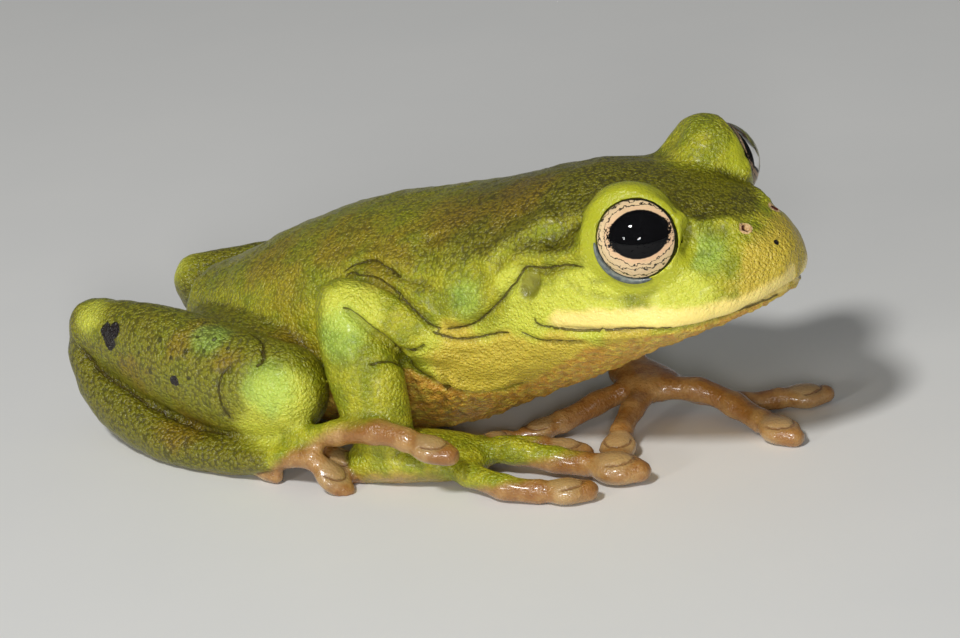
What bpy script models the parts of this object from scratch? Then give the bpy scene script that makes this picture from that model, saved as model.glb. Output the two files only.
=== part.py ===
"""A life-size tree frog at rest, as a display model divided into its named body parts.

Every measure in the tables is in millimetres. The frog looks along +X, its right side is towards -Y and
it rests on the plane z = 0. The last step moves the whole so that the origin is under the middle of its box.
"""

import math

import bpy
import bmesh
from mathutils import Matrix, Vector

# ---------------------------------------------------------------- driving dimensions, mm
MM = 0.001
GAP = 0.3
FLOOR = 0.0

# The head leans over a little, so the left eye is higher than the right one.
EYE_RADIUS = 3.5
EYES = {"right": (-0.35, -7.5, 21.85), "left": (-0.95, 7.0, 23.1)}
ORBITS = {"right": (-1.5, -6.7, 21.9), "left": (-1.75, 6.3, 23.35)}
# height above the middle of the orbit, half length and half width there
ORBIT_ROWS = ((-2.8, 4.9, 4.2), (0.2, 4.4, 3.8), (2.0, 3.7, 3.2), (3.35, 2.6, 2.2), (4.05, 1.3, 1.0))
ORBIT_TOP = 4.3
ORBIT_SIDES = 14

NOSTRIL = (6.8, 2.6, 21.4)
NOSTRIL_RADIUS = 0.45
NOSTRIL_DEPTH = 0.9

EARDRUM = (-9.7, 17.7)
EARDRUM_RADII = (0.95, 1.25)
EARDRUM_DEPTH = 1.2

NECK_X = -12.5
NECK_LEAN = 8.0
MOUTH_FRONT = (9.2, 15.5)
MOUTH_RISE = 3.6

BODY_SIDES = 20
LIMB_SIDES = 10
DIGIT_SIDES = 7
BALL = (16, 10)
RING_STEP = 2.0

# ---------------------------------------------------------------- colours and finish
SKIN = ((0.42, 0.50, 0.08), 0.45)
BACK = ((0.30, 0.33, 0.06), 0.50)
THROAT = ((0.62, 0.52, 0.16), 0.50)
PINK = ((0.66, 0.36, 0.24), 0.30)
EAR = ((0.28, 0.33, 0.08), 0.50)
EYEBALL = ((0.02, 0.02, 0.02), 0.05)

# ---------------------------------------------------------------- the body: lines of the head and trunk
# x, half width, top, height of the widest place, bottom, fullness of the upper and of the lower half
BODY = (
    (9.5, 2.0, 19.4, 17.8, 16.4, 2.0, 2.0),
    (8.5, 4.0, 20.6, 16.9, 15.4, 2.0, 2.0),
    (6.6, 6.3, 21.9, 16.2, 14.4, 2.1, 2.0),
    (3.6, 8.6, 23.3, 15.6, 12.9, 2.1, 2.0),
    (0.0, 9.9, 24.4, 15.3, 11.2, 2.1, 2.0),
    (-4.0, 10.4, 25.0, 15.1, 9.2, 2.1, 2.0),
    (-8.0, 10.5, 24.8, 15.0, 7.0, 2.1, 2.0),
    (-12.0, 10.3, 23.9, 15.0, 5.2, 2.1, 2.0),
    (-16.0, 10.6, 22.6, 14.8, 3.3, 2.1, 2.0),
    (-20.0, 10.9, 21.5, 13.8, 1.4, 2.1, 2.0),
    (-25.0, 11.0, 20.4, 12.0, -0.1, 2.1, 2.1),
    (-30.0, 10.8, 19.4, 10.4, -0.5, 2.1, 2.1),
    (-35.0, 10.0, 17.7, 9.2, -0.5, 2.1, 2.1),
    (-40.0, 8.4, 15.5, 8.4, -0.2, 2.1, 2.1),
    (-45.0, 6.2, 12.8, 7.8, 1.2, 2.1, 2.0),
    (-49.0, 3.8, 11.0, 7.6, 3.8, 2.0, 2.0),
)
SNOUT_TIP = (9.8, 0.0, 18.0)
VENT = (-51.2, 0.0, 7.8)

# ---------------------------------------------------------------- the limbs: x, y, z, half width, half height
RIGHT = {
    "upper_arm": (
        (-14.5, -5.0, 11.3, 2.4, 2.6),
        (-19.0, -8.9, 12.0, 2.5, 2.8),
        (-24.5, -11.0, 13.8, 2.4, 2.5),
        (-27.0, -11.6, 14.4, 2.3, 2.3),
    ),
    "forearm": (
        (-27.0, -11.8, 14.0, 2.4, 2.2),
        (-25.7, -12.5, 11.5, 3.1, 2.6),
        (-24.3, -13.1, 8.5, 3.4, 2.6),
        (-23.4, -13.5, 5.6, 3.1, 2.4),
        (-22.8, -13.5, 3.6, 2.7, 2.2),
    ),
    "hand": (
        (-24.6, -13.4, 1.5, 2.4, 1.9),
        (-21.5, -12.4, 1.9, 3.2, 2.1),
        (-18.2, -11.0, 1.8, 3.4, 1.8),
        (-16.4, -10.2, 1.6, 3.0, 1.5),
    ),
    "thigh": (
        (-46.5, -1.4, 6.4, 2.6, 3.0),
        (-44.2, -5.6, 6.4, 3.7, 3.8),
        (-39.6, -8.6, 6.8, 4.2, 4.2),
        (-34.6, -11.0, 7.2, 3.5, 3.7),
    ),
    "shank": (
        (-31.6, -14.2, 7.2, 3.5, 4.0),
        (-36.5, -14.3, 7.4, 3.7, 4.5),
        (-43.0, -13.4, 8.2, 3.5, 4.4),
        (-49.0, -11.9, 8.5, 2.8, 3.7),
        (-53.6, -10.6, 8.8, 2.4, 2.7),
    ),
    "foot": (
        (-54.4, -10.7, 7.0, 2.0, 2.3),
        (-52.5, -12.4, 4.5, 1.9, 2.2),
        (-48.5, -14.3, 2.9, 1.9, 2.4),
        (-42.5, -15.9, 1.7, 2.1, 1.9),
        (-36.5, -16.2, 1.6, 2.3, 1.7),
        (-32.8, -16.0, 1.9, 2.5, 1.5),
    ),
}
LEFT = {
    "upper_arm": (
        (-13.5, 6.0, 11.2, 2.5, 2.8),
        (-17.0, 10.0, 11.0, 2.4, 2.7),
        (-19.0, 13.0, 10.5, 2.4, 2.5),
        (-20.2, 14.6, 10.0, 2.3, 2.3),
    ),
    "forearm": (
        (-19.6, 14.0, 9.2, 2.0, 2.0),
        (-18.1, 12.5, 8.0, 2.4, 2.4),
        (-15.2, 10.4, 6.1, 2.3, 2.3),
        (-12.0, 7.9, 4.2, 1.8, 1.7),
    ),
    "hand": (
        (-11.6, 7.5, 3.3, 1.9, 1.4),
        (-9.5, 6.6, 3.0, 2.5, 1.4),
        (-7.8, 5.7, 2.8, 2.7, 1.3),
    ),
    "thigh": (
        (-46.0, 1.4, 6.2, 2.5, 2.8),
        (-43.6, 5.0, 6.2, 3.3, 3.5),
        (-38.8, 8.0, 6.6, 4.0, 4.0),
        (-33.6, 10.8, 7.0, 3.4, 3.6),
    ),
    "shank": (
        (-30.6, 14.4, 7.0, 3.5, 4.0),
        (-36.0, 13.4, 7.2, 3.6, 4.3),
        (-42.5, 11.0, 7.5, 3.4, 4.0),
        (-48.8, 8.0, 7.4, 2.7, 3.1),
        (-54.0, 5.5, 7.3, 2.3, 2.5),
    ),
    "foot": (
        (-54.2, 6.1, 5.8, 1.9, 2.1),
        (-52.2, 8.6, 3.8, 1.8, 2.0),
        (-48.0, 11.8, 2.5, 1.9, 2.0),
        (-42.5, 14.6, 1.7, 2.1, 1.9),
        (-36.5, 16.4, 1.6, 2.3, 1.7),
        (-32.5, 17.2, 1.5, 2.5, 1.5),
    ),
}

# a digit: its path from root to pad centre, half thickness, pad radius
RIGHT_FINGERS = (
    (((-18.5, -9.2, 1.5), (-17.6, -7.2, 1.2), (-17.3, -5.4, 0.9)), 1.0, 1.5),
    (((-17.0, -9.2, 1.7), (-14.6, -6.6, 1.4), (-12.4, -5.4, 1.1), (-10.6, -5.0, 0.9)), 1.0, 1.6),
    (((-17.0, -10.0, 1.9), (-13.6, -8.9, 2.0), (-10.0, -8.2, 1.5), (-6.8, -7.8, 1.3), (-4.3, -7.5, 1.2)),
     1.15, 2.1),
    (((-17.5, -12.4, 1.6), (-13.8, -13.6, 1.4), (-10.6, -14.0, 1.1), (-8.1, -13.3, 0.9), (-6.1, -12.5, 0.9)),
     1.1, 1.7),
)
LEFT_FINGERS = (
    (((-9.6, 5.6, 2.8), (-11.6, 3.0, 2.2), (-13.4, 0.2, 1.4), (-15.0, -1.8, 0.9)), 1.05, 1.5),
    (((-8.2, 5.0, 2.7), (-8.2, 2.2, 2.2), (-7.7, -0.6, 1.4), (-6.8, -2.9, 0.9)), 1.05, 1.6),
    (((-7.6, 5.9, 2.8), (-3.8, 6.6, 2.7), (-0.6, 6.4, 1.8), (2.0, 5.6, 1.2), (4.3, 4.8, 0.9)), 1.1, 1.75),
    (((-7.8, 6.7, 2.6), (-4.4, 7.8, 1.9), (-1.3, 8.8, 1.05), (0.8, 10.7, 1.0), (2.8, 12.3, 0.9)), 1.0, 1.7),
)
RIGHT_TOES = (
    (((-36.5, -15.0, 1.2), (-34.6, -15.9, 0.9), (-32.6, -16.8, 0.7)), 0.8, 1.1),
    (((-34.5, -14.6, 1.3), (-31.6, -13.2, 1.1), (-28.8, -12.4, 0.8)), 0.85, 1.3),
    (((-33.2, -15.0, 1.8), (-30.2, -14.7, 2.4), (-28.0, -14.6, 2.3), (-26.6, -14.8, 1.4)), 0.95, 1.4),
    (((-33.2, -15.8, 2.3), (-29.6, -16.0, 3.7), (-25.2, -16.3, 5.0), (-20.8, -16.3, 5.5), (-16.6, -16.1, 4.6)),
     1.1, 1.7),
    (((-33.2, -16.8, 1.8), (-30.0, -17.2, 2.5), (-27.6, -17.2, 2.6), (-26.0, -17.1, 1.2)), 1.0, 1.6),
)
LEFT_TOES = (
    (((-36.0, 15.4, 1.2), (-33.6, 13.8, 0.9), (-31.8, 12.6, 0.8)), 0.8, 1.1),
    (((-34.0, 16.0, 1.3), (-30.8, 14.9, 1.1), (-28.0, 14.2, 0.8)), 0.85, 1.3),
    (((-33.0, 16.6, 1.4), (-28.8, 16.4, 1.2), (-25.2, 16.2, 0.9)), 0.95, 1.5),
    (((-33.0, 17.4, 1.5), (-27.6, 18.2, 1.4), (-22.8, 18.6, 1.2), (-19.0, 18.8, 0.9)), 1.05, 1.7),
    (((-33.4, 18.4, 1.4), (-29.8, 19.8, 1.2), (-26.6, 20.8, 0.9)), 0.95, 1.5),
)


# ---------------------------------------------------------------- helpers
def clear_scene():
    for item in list(bpy.data.objects):
        bpy.data.objects.remove(item, do_unlink=True)


def material(name, colour, roughness):
    made = bpy.data.materials.new(name)
    made.use_nodes = True
    shader = made.node_tree.nodes["Principled BSDF"]
    shader.inputs["Base Color"].default_value = (*colour, 1.0)
    shader.inputs["Roughness"].default_value = roughness
    shader.inputs["Metallic"].default_value = 0.0
    made.diffuse_color = (*colour, 1.0)
    return made


def flow(rows, per_span):
    """Rows of numbers run into a smooth curve through every row (Catmull-Rom)."""
    first = [2 * a - b for a, b in zip(rows[0], rows[1])]
    last = [2 * a - b for a, b in zip(rows[-1], rows[-2])]
    held = [first, *rows, last]
    out = []
    for p0, p1, p2, p3 in zip(held, held[1:], held[2:], held[3:]):
        for step in range(per_span):
            t = step / per_span
            out.append([
                b + 0.5 * ((c - a) * t + (2 * a - 5 * b + 4 * c - d) * t**2 + (3 * b - a - 3 * c + d) * t**3)
                for a, b, c, d in zip(p0, p1, p2, p3)
            ])
    out.append(list(rows[-1]))
    return out


def power(value, fullness):
    return math.copysign(abs(value) ** (2.0 / fullness), value)


def body_ring(row, grow):
    """One cross-section of the head and trunk, upright and square to X."""
    x, half, top, wide, bottom, upper, lower = row
    ring = []
    for step in range(BODY_SIDES):
        angle = 2 * math.pi * step / BODY_SIDES
        rising = math.sin(angle) >= 0
        fullness = upper if rising else lower
        tall = (top - wide if rising else wide - bottom) + grow
        ring.append(Vector((
            x,
            (half + grow) * power(math.cos(angle), fullness),
            wide + tall * power(math.sin(angle), fullness),
        )))
    return ring


DOME = (math.radians(30), math.radians(62))
BLUNT = (math.radians(45),)


def tube_rings(rows, sides, up, caps, grow):
    """Rings across a curved tube whose rows are x, y, z, half width, half height, with a dome at each end."""
    centres = [Vector(row[:3]) for row in rows]
    rings = []
    count = len(rows)
    for index, row in enumerate(rows):
        along = (centres[min(index + 1, count - 1)] - centres[max(index - 1, 0)]).normalized()
        across = along.cross(up).normalized()
        rise = across.cross(along)
        depth = min(row[3], row[4]) + grow
        steps = [(0.0, 1.0)]
        if index == 0:
            start = centres[0] - along * depth
            steps = [(-math.sin(a), math.cos(a)) for a in reversed(caps[0])] + steps
        if index == count - 1:
            end = centres[-1] + along * depth
            steps = steps + [(math.sin(a), math.cos(a)) for a in caps[1]]
        for ahead, scale in steps:
            centre = centres[index] + along * (ahead * depth)
            rings.append([
                centre
                + across * ((row[3] + grow) * scale * math.cos(2 * math.pi * k / sides))
                + rise * ((row[4] + grow) * scale * math.sin(2 * math.pi * k / sides))
                for k in range(sides)
            ])
    return start, rings, end


def digit_rows(path, thick, pad):
    """Rows for a finger or toe: a slim tube with a broad flattened pad centred on the path's last point."""
    line = [Vector(point) for point in flow(path, 8)]
    last = line[-1]
    ahead = (last - line[-2]).normalized()
    reach = 1.15 * pad
    rows = []
    for point in line:
        spaced = not rows or (point - Vector(rows[-1][:3])).length >= RING_STEP
        if spaced and (point - last).length > reach:
            rows.append((*point, thick, thick))
    for share in (-0.88, -0.4, 0.1, 0.5):
        outline = math.sqrt(1.0 - share**2)
        place = last + ahead * (share * reach)
        rows.append((*place, max(thick, pad * outline), max(0.9 * thick, 0.62 * pad * outline)))
    return rows


def build_mesh(name, start, rings, end, flat):
    """A closed body from a row of rings with a point at each end."""
    shape = bmesh.new()
    loops = [[shape.verts.new(point * MM) for point in ring] for ring in rings]
    tip, tail = shape.verts.new(Vector(start) * MM), shape.verts.new(Vector(end) * MM)
    for one, other in zip(loops, loops[1:]):
        for k in range(len(one)):
            n = (k + 1) % len(one)
            shape.faces.new((one[k], one[n], other[n], other[k]))
    for k in range(len(loops[0])):
        n = (k + 1) % len(loops[0])
        shape.faces.new((tip, loops[0][n], loops[0][k]))
        shape.faces.new((tail, loops[-1][k], loops[-1][n]))
    if flat:
        for vert in shape.verts:
            vert.co.z = max(vert.co.z, FLOOR * MM)
    bmesh.ops.recalc_face_normals(shape, faces=shape.faces)
    mesh = bpy.data.meshes.new(name)
    shape.to_mesh(mesh)
    shape.free()
    mesh.shade_smooth()
    return mesh


def in_triangles(mesh):
    """Splits each face into triangles, so that none is crooked where forms cut each other at a low angle."""
    shape = bmesh.new()
    shape.from_mesh(mesh)
    bmesh.ops.triangulate(shape, faces=shape.faces)
    shape.to_mesh(mesh)
    shape.free()
    return mesh


def add_object(name, mesh):
    made = bpy.data.objects.new(name, mesh)
    bpy.context.scene.collection.objects.link(made)
    return made


def helper(name, mesh):
    """A cutter or guide: shown as wires and left out of the model."""
    made = add_object(name, mesh)
    made.display_type = "WIRE"
    made.hide_render = True
    return made


def combine(piece, other, operation):
    step = piece.modifiers.new(f"{operation.lower()} {other.name}", "BOOLEAN")
    step.operation = operation
    step.object = other
    step.solver = "EXACT"


# ---------------------------------------------------------------- forms
def body_mesh(name, grow, flat):
    rings = [body_ring(row, grow) for row in flow(BODY, 2)]
    ahead, behind = Vector((grow, 0, 0)), Vector((-grow, 0, 0))
    return build_mesh(name, Vector(SNOUT_TIP) + ahead, rings, Vector(VENT) + behind, flat)


LIMB_UP = {"forearm": Vector((0, 1, 0))}


def limb_mesh(name, part, rows, grow, flat):
    up = LIMB_UP.get(part, Vector((0, 0, 1)))
    return build_mesh(name, *tube_rings(flow(rows, 2), LIMB_SIDES, up, (DOME, DOME), grow), flat)


def digit_mesh(name, path, thick, pad, grow, flat):
    rows = digit_rows(path, thick, pad)
    return build_mesh(name, *tube_rings(rows, DIGIT_SIDES, Vector((0, 0, 1)), ((), BLUNT), grow), flat)


def ellipsoid(name, centre, radii, segments, rings):
    shape = bmesh.new()
    bmesh.ops.create_uvsphere(shape, u_segments=segments, v_segments=rings, radius=1.0)
    place = Matrix.Translation(Vector(centre) * MM) @ Matrix.Diagonal((*(r * MM for r in radii), 1.0))
    bmesh.ops.transform(shape, matrix=place, verts=shape.verts)
    mesh = bpy.data.meshes.new(name)
    shape.to_mesh(mesh)
    shape.free()
    mesh.shade_smooth()
    return mesh


def rod(name, start, end, radii, sides):
    """A straight oval bar with flat ends; radii are across and up."""
    rows = ((*start, *radii), (*end, *radii))
    rings = tube_rings(rows, sides, Vector((0, 0, 1)), ((), ()), 0.0)[1]
    return build_mesh(name, start, rings, end, False)


def half_space(name, point, normal, size=120.0):
    """A big block whose one face passes through the point and looks back along the normal."""
    shape = bmesh.new()
    bmesh.ops.create_cube(shape, size=1.0)
    turn = Vector((0, 0, 1)).rotation_difference(Vector(normal)).to_matrix().to_4x4()
    place = Matrix.Translation(Vector(point) * MM) @ turn @ Matrix.Diagonal((size * MM,) * 3 + (1.0,))
    bmesh.ops.transform(shape, matrix=place @ Matrix.Translation((0, 0, 0.5)), verts=shape.verts)
    mesh = bpy.data.meshes.new(name)
    shape.to_mesh(mesh)
    shape.free()
    return helper(name, mesh)


def mirrored(point, side):
    return (point[0], side * point[1], point[2])


# ---------------------------------------------------------------- head, jaw and trunk
def make_body():
    """The head, lower jaw and trunk are one form, parted by thin cuts at the neck and along the mouth."""
    lean, rise = math.radians(NECK_LEAN), math.radians(MOUTH_RISE)
    backward = Vector((-math.cos(lean), 0, math.sin(lean)))
    upward = Vector((-math.sin(rise), 0, math.cos(rise)))
    neck, mouth = Vector((NECK_X, 0, 15.0)), Vector((MOUTH_FRONT[0], 0, MOUTH_FRONT[1]))
    half = GAP / 2
    behind = half_space("cut_behind_neck", neck - backward * half, backward)
    before = half_space("cut_before_neck", neck + backward * half, -backward)
    below = half_space("cut_below_mouth", mouth + upward * half, -upward)
    above = half_space("cut_above_mouth", mouth - upward * half, upward)

    head = add_object("head", in_triangles(body_mesh("head", 0.0, False)))
    jaw = add_object("lower_jaw", body_mesh("lower_jaw", 0.0, False))
    trunk = add_object("trunk", body_mesh("trunk", 0.0, True))
    for cutter in (behind, below):
        combine(head, cutter, "DIFFERENCE")
    for cutter in (behind, above):
        combine(jaw, cutter, "DIFFERENCE")
    combine(trunk, before, "DIFFERENCE")

    pieces = {"head": head, "lower_jaw": jaw, "trunk": trunk}
    for word in EYES:
        orbit = helper(f"orbit_{word}", orbit_mesh(ORBITS[word]))
        combine(head, orbit, "UNION")
    for word, side in (("right", -1), ("left", 1)):
        centre = EYES[word]
        socket = helper(f"socket_{word}", ellipsoid("socket", centre, (EYE_RADIUS + GAP,) * 3, 14, 9))
        combine(head, socket, "DIFFERENCE")
        name = f"eye_{word}"
        pieces[name] = add_object(name, ellipsoid(name, centre, (EYE_RADIUS,) * 3, *BALL))
        pieces[f"eardrum_{word}"] = make_eardrum(head, word, side)
        make_nostril(head, word, side)
    return pieces


def orbit_mesh(centre):
    """The mound of skin that an eye sits in, wide at its foot and narrow at its top."""
    middle = Vector(centre)
    turns = [2 * math.pi * k / ORBIT_SIDES for k in range(ORBIT_SIDES)]
    rings = [
        [middle + Vector((length * math.cos(a), width * math.sin(a), height)) for a in turns]
        for height, length, width in ORBIT_ROWS
    ]
    foot, top = Vector((0, 0, ORBIT_ROWS[0][0])), Vector((0, 0, ORBIT_TOP))
    return in_triangles(build_mesh("orbit", middle + foot, rings, middle + top, False))


def make_eardrum(head, word, side):
    x, z = EARDRUM
    surface = 10.4
    name = f"eardrum_{word}"
    inner, outer = side * (surface - EARDRUM_DEPTH), side * (surface + 2.0)
    plug = add_object(name, rod(name, (x, inner, z), (x, outer, z), EARDRUM_RADII, 12))
    form = helper(f"form_{name}", body_mesh("ear_form", 0.0, False))
    combine(plug, form, "INTERSECT")
    wide = tuple(r + GAP for r in EARDRUM_RADII)
    recess = helper(f"recess_{word}", rod("recess", (x, inner - side * GAP, z), (x, outer, z), wide, 12))
    combine(head, recess, "DIFFERENCE")
    return plug


def make_nostril(head, word, side):
    centre = Vector(mirrored(NOSTRIL, side))
    outward = Vector((0.25, 0.75 * side, 0.6)).normalized()
    pit = rod("nostril", centre - outward * NOSTRIL_DEPTH, centre + outward * 3.0, (NOSTRIL_RADIUS,) * 2, 8)
    combine(head, helper(f"nostril_{word}", pit), "DIFFERENCE")


# ---------------------------------------------------------------- limbs
PARTS = ("thigh", "shank", "upper_arm", "forearm", "foot", "hand")
RAISED = ("thigh", "shank", "upper_arm", "forearm")
SIDES = (
    ("right", RIGHT, {"finger": RIGHT_FINGERS, "toe": RIGHT_TOES}),
    ("left", LEFT, {"finger": LEFT_FINGERS, "toe": LEFT_TOES}),
)


def limb_forms():
    """Every piece of the limbs, those nearer the body first: its name and the function that shapes it."""
    forms = []
    for part in PARTS:
        for word, limbs, _ in SIDES:
            forms.append((f"{part}_{word}", limb_mesh, (part, limbs[part]), part not in RAISED))
    for kind in ("finger", "toe"):
        for word, _, digits in SIDES:
            for number, digit in enumerate(digits[kind], 1):
                forms.append((f"{kind}_{number}_{word}", digit_mesh, digit, True))
    return forms


def corners(item):
    spots = [vert.co for vert in item.data.vertices]
    return [(min(s[k] for s in spots), max(s[k] for s in spots)) for k in range(3)]


def meet(one, other):
    """Whether the boxes of two objects overlap."""
    return all(a[0] < b[1] and b[0] < a[1] for a, b in zip(corners(one), corners(other)))


def make_limbs(cutters):
    """Each piece is cut back from every earlier piece that it touches, so all of them meet with a thin gap."""
    pieces = {}
    for name, shape, form, flat in limb_forms():
        pieces[name] = add_object(name, shape(name, *form, 0.0, flat))
        for cutter in cutters:
            if meet(pieces[name], cutter):
                combine(pieces[name], cutter, "DIFFERENCE")
        cutters.append(helper(f"around_{name}", shape("around", *form, GAP, False)))
    return pieces


# ---------------------------------------------------------------- finish and place
def finish_of(name):
    if name.startswith("eye"):
        return EYEBALL
    if name.startswith("eardrum"):
        return EAR
    if name.startswith(("finger", "toe")):
        return PINK
    if name == "lower_jaw":
        return THROAT
    if name in ("head", "trunk"):
        return BACK
    return SKIN


def paint(pieces):
    for name, piece in pieces.items():
        colour, roughness = finish_of(name)
        piece.data.materials.clear()
        piece.data.materials.append(material(name, colour, roughness))


def box_of(pieces):
    """The lowest and highest corner of the finished pieces."""
    bpy.context.view_layer.update()
    graph = bpy.context.evaluated_depsgraph_get()
    corners = [Vector(c) for piece in pieces for c in piece.evaluated_get(graph).bound_box]
    low = Vector([min(c[k] for c in corners) for k in range(3)])
    high = Vector([max(c[k] for c in corners) for k in range(3)])
    return low, high


def set_down(pieces):
    """Everything hangs from one empty, moved so that the origin is under the middle of the box."""
    low, high = box_of(pieces.values())
    base = bpy.data.objects.new("tree_frog", None)
    bpy.context.scene.collection.objects.link(base)
    for item in bpy.data.objects:
        if item is not base:
            item.parent = base
    base.location = (-(low.x + high.x) / 2, -(low.y + high.y) / 2, -low.z)
    bpy.context.view_layer.update()


def main():
    clear_scene()
    pieces = make_body()
    pieces.update(make_limbs([helper("around_body", body_mesh("around_body", GAP, False))]))
    paint(pieces)
    set_down(pieces)


main()
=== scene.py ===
"""A life-size tree frog at rest: one skin over its whole body, two wet eyes, and the light it is shown in.

The skin is modelled in millimetres round the frog's own origin: it looks along +X, its right side is
towards -Y and it rests on z = 0. The last step sets it into the frame, in metres.
"""

import math
from functools import reduce

import bpy
import numpy as np
from mathutils import Matrix, Vector, noise
from mathutils.kdtree import KDTree


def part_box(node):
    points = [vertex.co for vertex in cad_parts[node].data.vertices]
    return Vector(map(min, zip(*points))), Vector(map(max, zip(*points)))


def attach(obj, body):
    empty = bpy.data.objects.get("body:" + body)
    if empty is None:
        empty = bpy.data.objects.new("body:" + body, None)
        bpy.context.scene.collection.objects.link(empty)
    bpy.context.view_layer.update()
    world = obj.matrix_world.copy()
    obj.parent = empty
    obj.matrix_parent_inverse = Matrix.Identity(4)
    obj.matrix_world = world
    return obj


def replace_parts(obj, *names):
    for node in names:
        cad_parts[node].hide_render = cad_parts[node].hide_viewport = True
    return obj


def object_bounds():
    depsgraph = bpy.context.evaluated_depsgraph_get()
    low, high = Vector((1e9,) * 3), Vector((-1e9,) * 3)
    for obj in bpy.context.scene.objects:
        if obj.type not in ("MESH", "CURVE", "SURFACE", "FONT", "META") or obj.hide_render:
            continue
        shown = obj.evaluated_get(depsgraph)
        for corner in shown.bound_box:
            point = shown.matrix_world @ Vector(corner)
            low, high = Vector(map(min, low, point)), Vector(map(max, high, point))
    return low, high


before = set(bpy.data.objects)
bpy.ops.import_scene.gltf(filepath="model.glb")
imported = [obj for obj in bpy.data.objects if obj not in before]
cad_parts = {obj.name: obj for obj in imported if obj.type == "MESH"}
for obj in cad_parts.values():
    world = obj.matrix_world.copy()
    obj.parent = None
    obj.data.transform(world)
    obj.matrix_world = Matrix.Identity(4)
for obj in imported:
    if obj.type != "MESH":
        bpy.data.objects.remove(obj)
CAD_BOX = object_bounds()

# ---- the eyes: all sizes in mm
MM = 0.001
UP = Vector((0, 0, 1))
EYE_RADIUS = 3.5
# the head leans over a little, so the left eye is higher than the right one
EYES = {"right": (-0.35, -7.5, 21.85), "left": (-0.95, 7.0, 23.1)}
# the ways that each eye looks, that its lids face and that its long side runs
EYE_AXES = {"right": (0.304, -0.93, 0.205), "left": (0.46, 0.87, 0.16)}
LID_AXES = {"right": EYE_AXES["right"], "left": (0.62, 0.76, 0.21)}
EYE_LEVELS = {"right": (0.94, 0.33, 0.13), "left": (0.84, -0.5, 0.05)}
# how far the dark ball lies inside the cornea, half the angle that the iris takes up, and how far it is crowned
BALL_INSET = 0.07
IRIS_ANGLE = 70.0
IRIS_CROWN = 1.45
# half length and half height of the pupil, and where it sits on the iris
PUPIL_SIZE = (2.3, 1.88)
PUPIL_PLACE = (0.52, 0.43)
PUPIL_DEPTH = 0.3
# the inner lid: from which to which turn round the eye, how far from its axis and how far out
MEMBRANE = (178.0, 282.0)
MEMBRANE_RING = (3.4, 1.28)
MEMBRANE_THICKNESS = 0.3
# the mounds under the eyes: height above the middle, half length and half width there
ORBITS = {"right": (-1.5, -6.7, 21.9), "left": (-1.75, 6.3, 23.35)}
ORBIT_ROWS = ((-2.8, 4.9, 4.2), (0.2, 4.4, 3.8), (2.0, 3.7, 3.2), (3.35, 2.6, 2.2), (4.05, 1.3, 1.0))
ORBIT_TOP = 4.3
# the lids: half the angle of their opening, how thick they are, and how high and steep the skin round them is
LID_ANGLES = {"right": 79.5, "left": 70.5}
LID_THICKNESS = 0.36
LID_HEIGHT = 0.42
LID_SLOPE = 0.45
SOCKET_GAP = 0.04

# ---- the forms under the skin
SKIN_CELL = 0.28
SKIN_TRIANGLES = 188000
BODY_SIDES, LIMB_SIDES, DIGIT_SIDES, ORBIT_SIDES = 72, 32, 20, 48
# x, half width, top, height of the widest place, bottom, fullness of the upper and of the lower half
BODY = (
    (9.5, 2, 19.4, 17.8, 16.4, 2, 2), (8.5, 4, 20.6, 16.9, 15.4, 2, 2), (6.6, 6.3, 21.9, 16.2, 14.4, 2.1, 2),
    (3.6, 8.6, 23.3, 15.6, 12.9, 2.1, 2), (0, 9.9, 24.4, 15.3, 11.2, 2.1, 2),
    (-4, 10.4, 25, 15.1, 9.2, 2.1, 2), (-8, 10.5, 24.8, 15, 7, 2.1, 2), (-12, 10.3, 23.9, 15, 5.2, 2.1, 2),
    (-16, 10.6, 22.6, 14.8, 3.3, 2.1, 2), (-20, 10.9, 21.5, 13.8, 1.4, 2.1, 2),
    (-25, 11, 20.4, 12, -0.1, 2.1, 2.1), (-30, 10.8, 19.4, 10.4, -0.5, 2.1, 2.1),
    (-35, 10, 17.7, 9.2, -0.5, 2.1, 2.1), (-40, 8.4, 15.5, 8.4, -0.2, 2.1, 2.1),
    (-45, 6.2, 12.8, 7.8, 1.2, 2.1, 2), (-49, 3.8, 11, 7.6, 3.8, 2, 2),
)
SNOUT_TIP = (9.8, 0.0, 18.0)
VENT = (-51.2, 0.0, 7.8)

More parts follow.
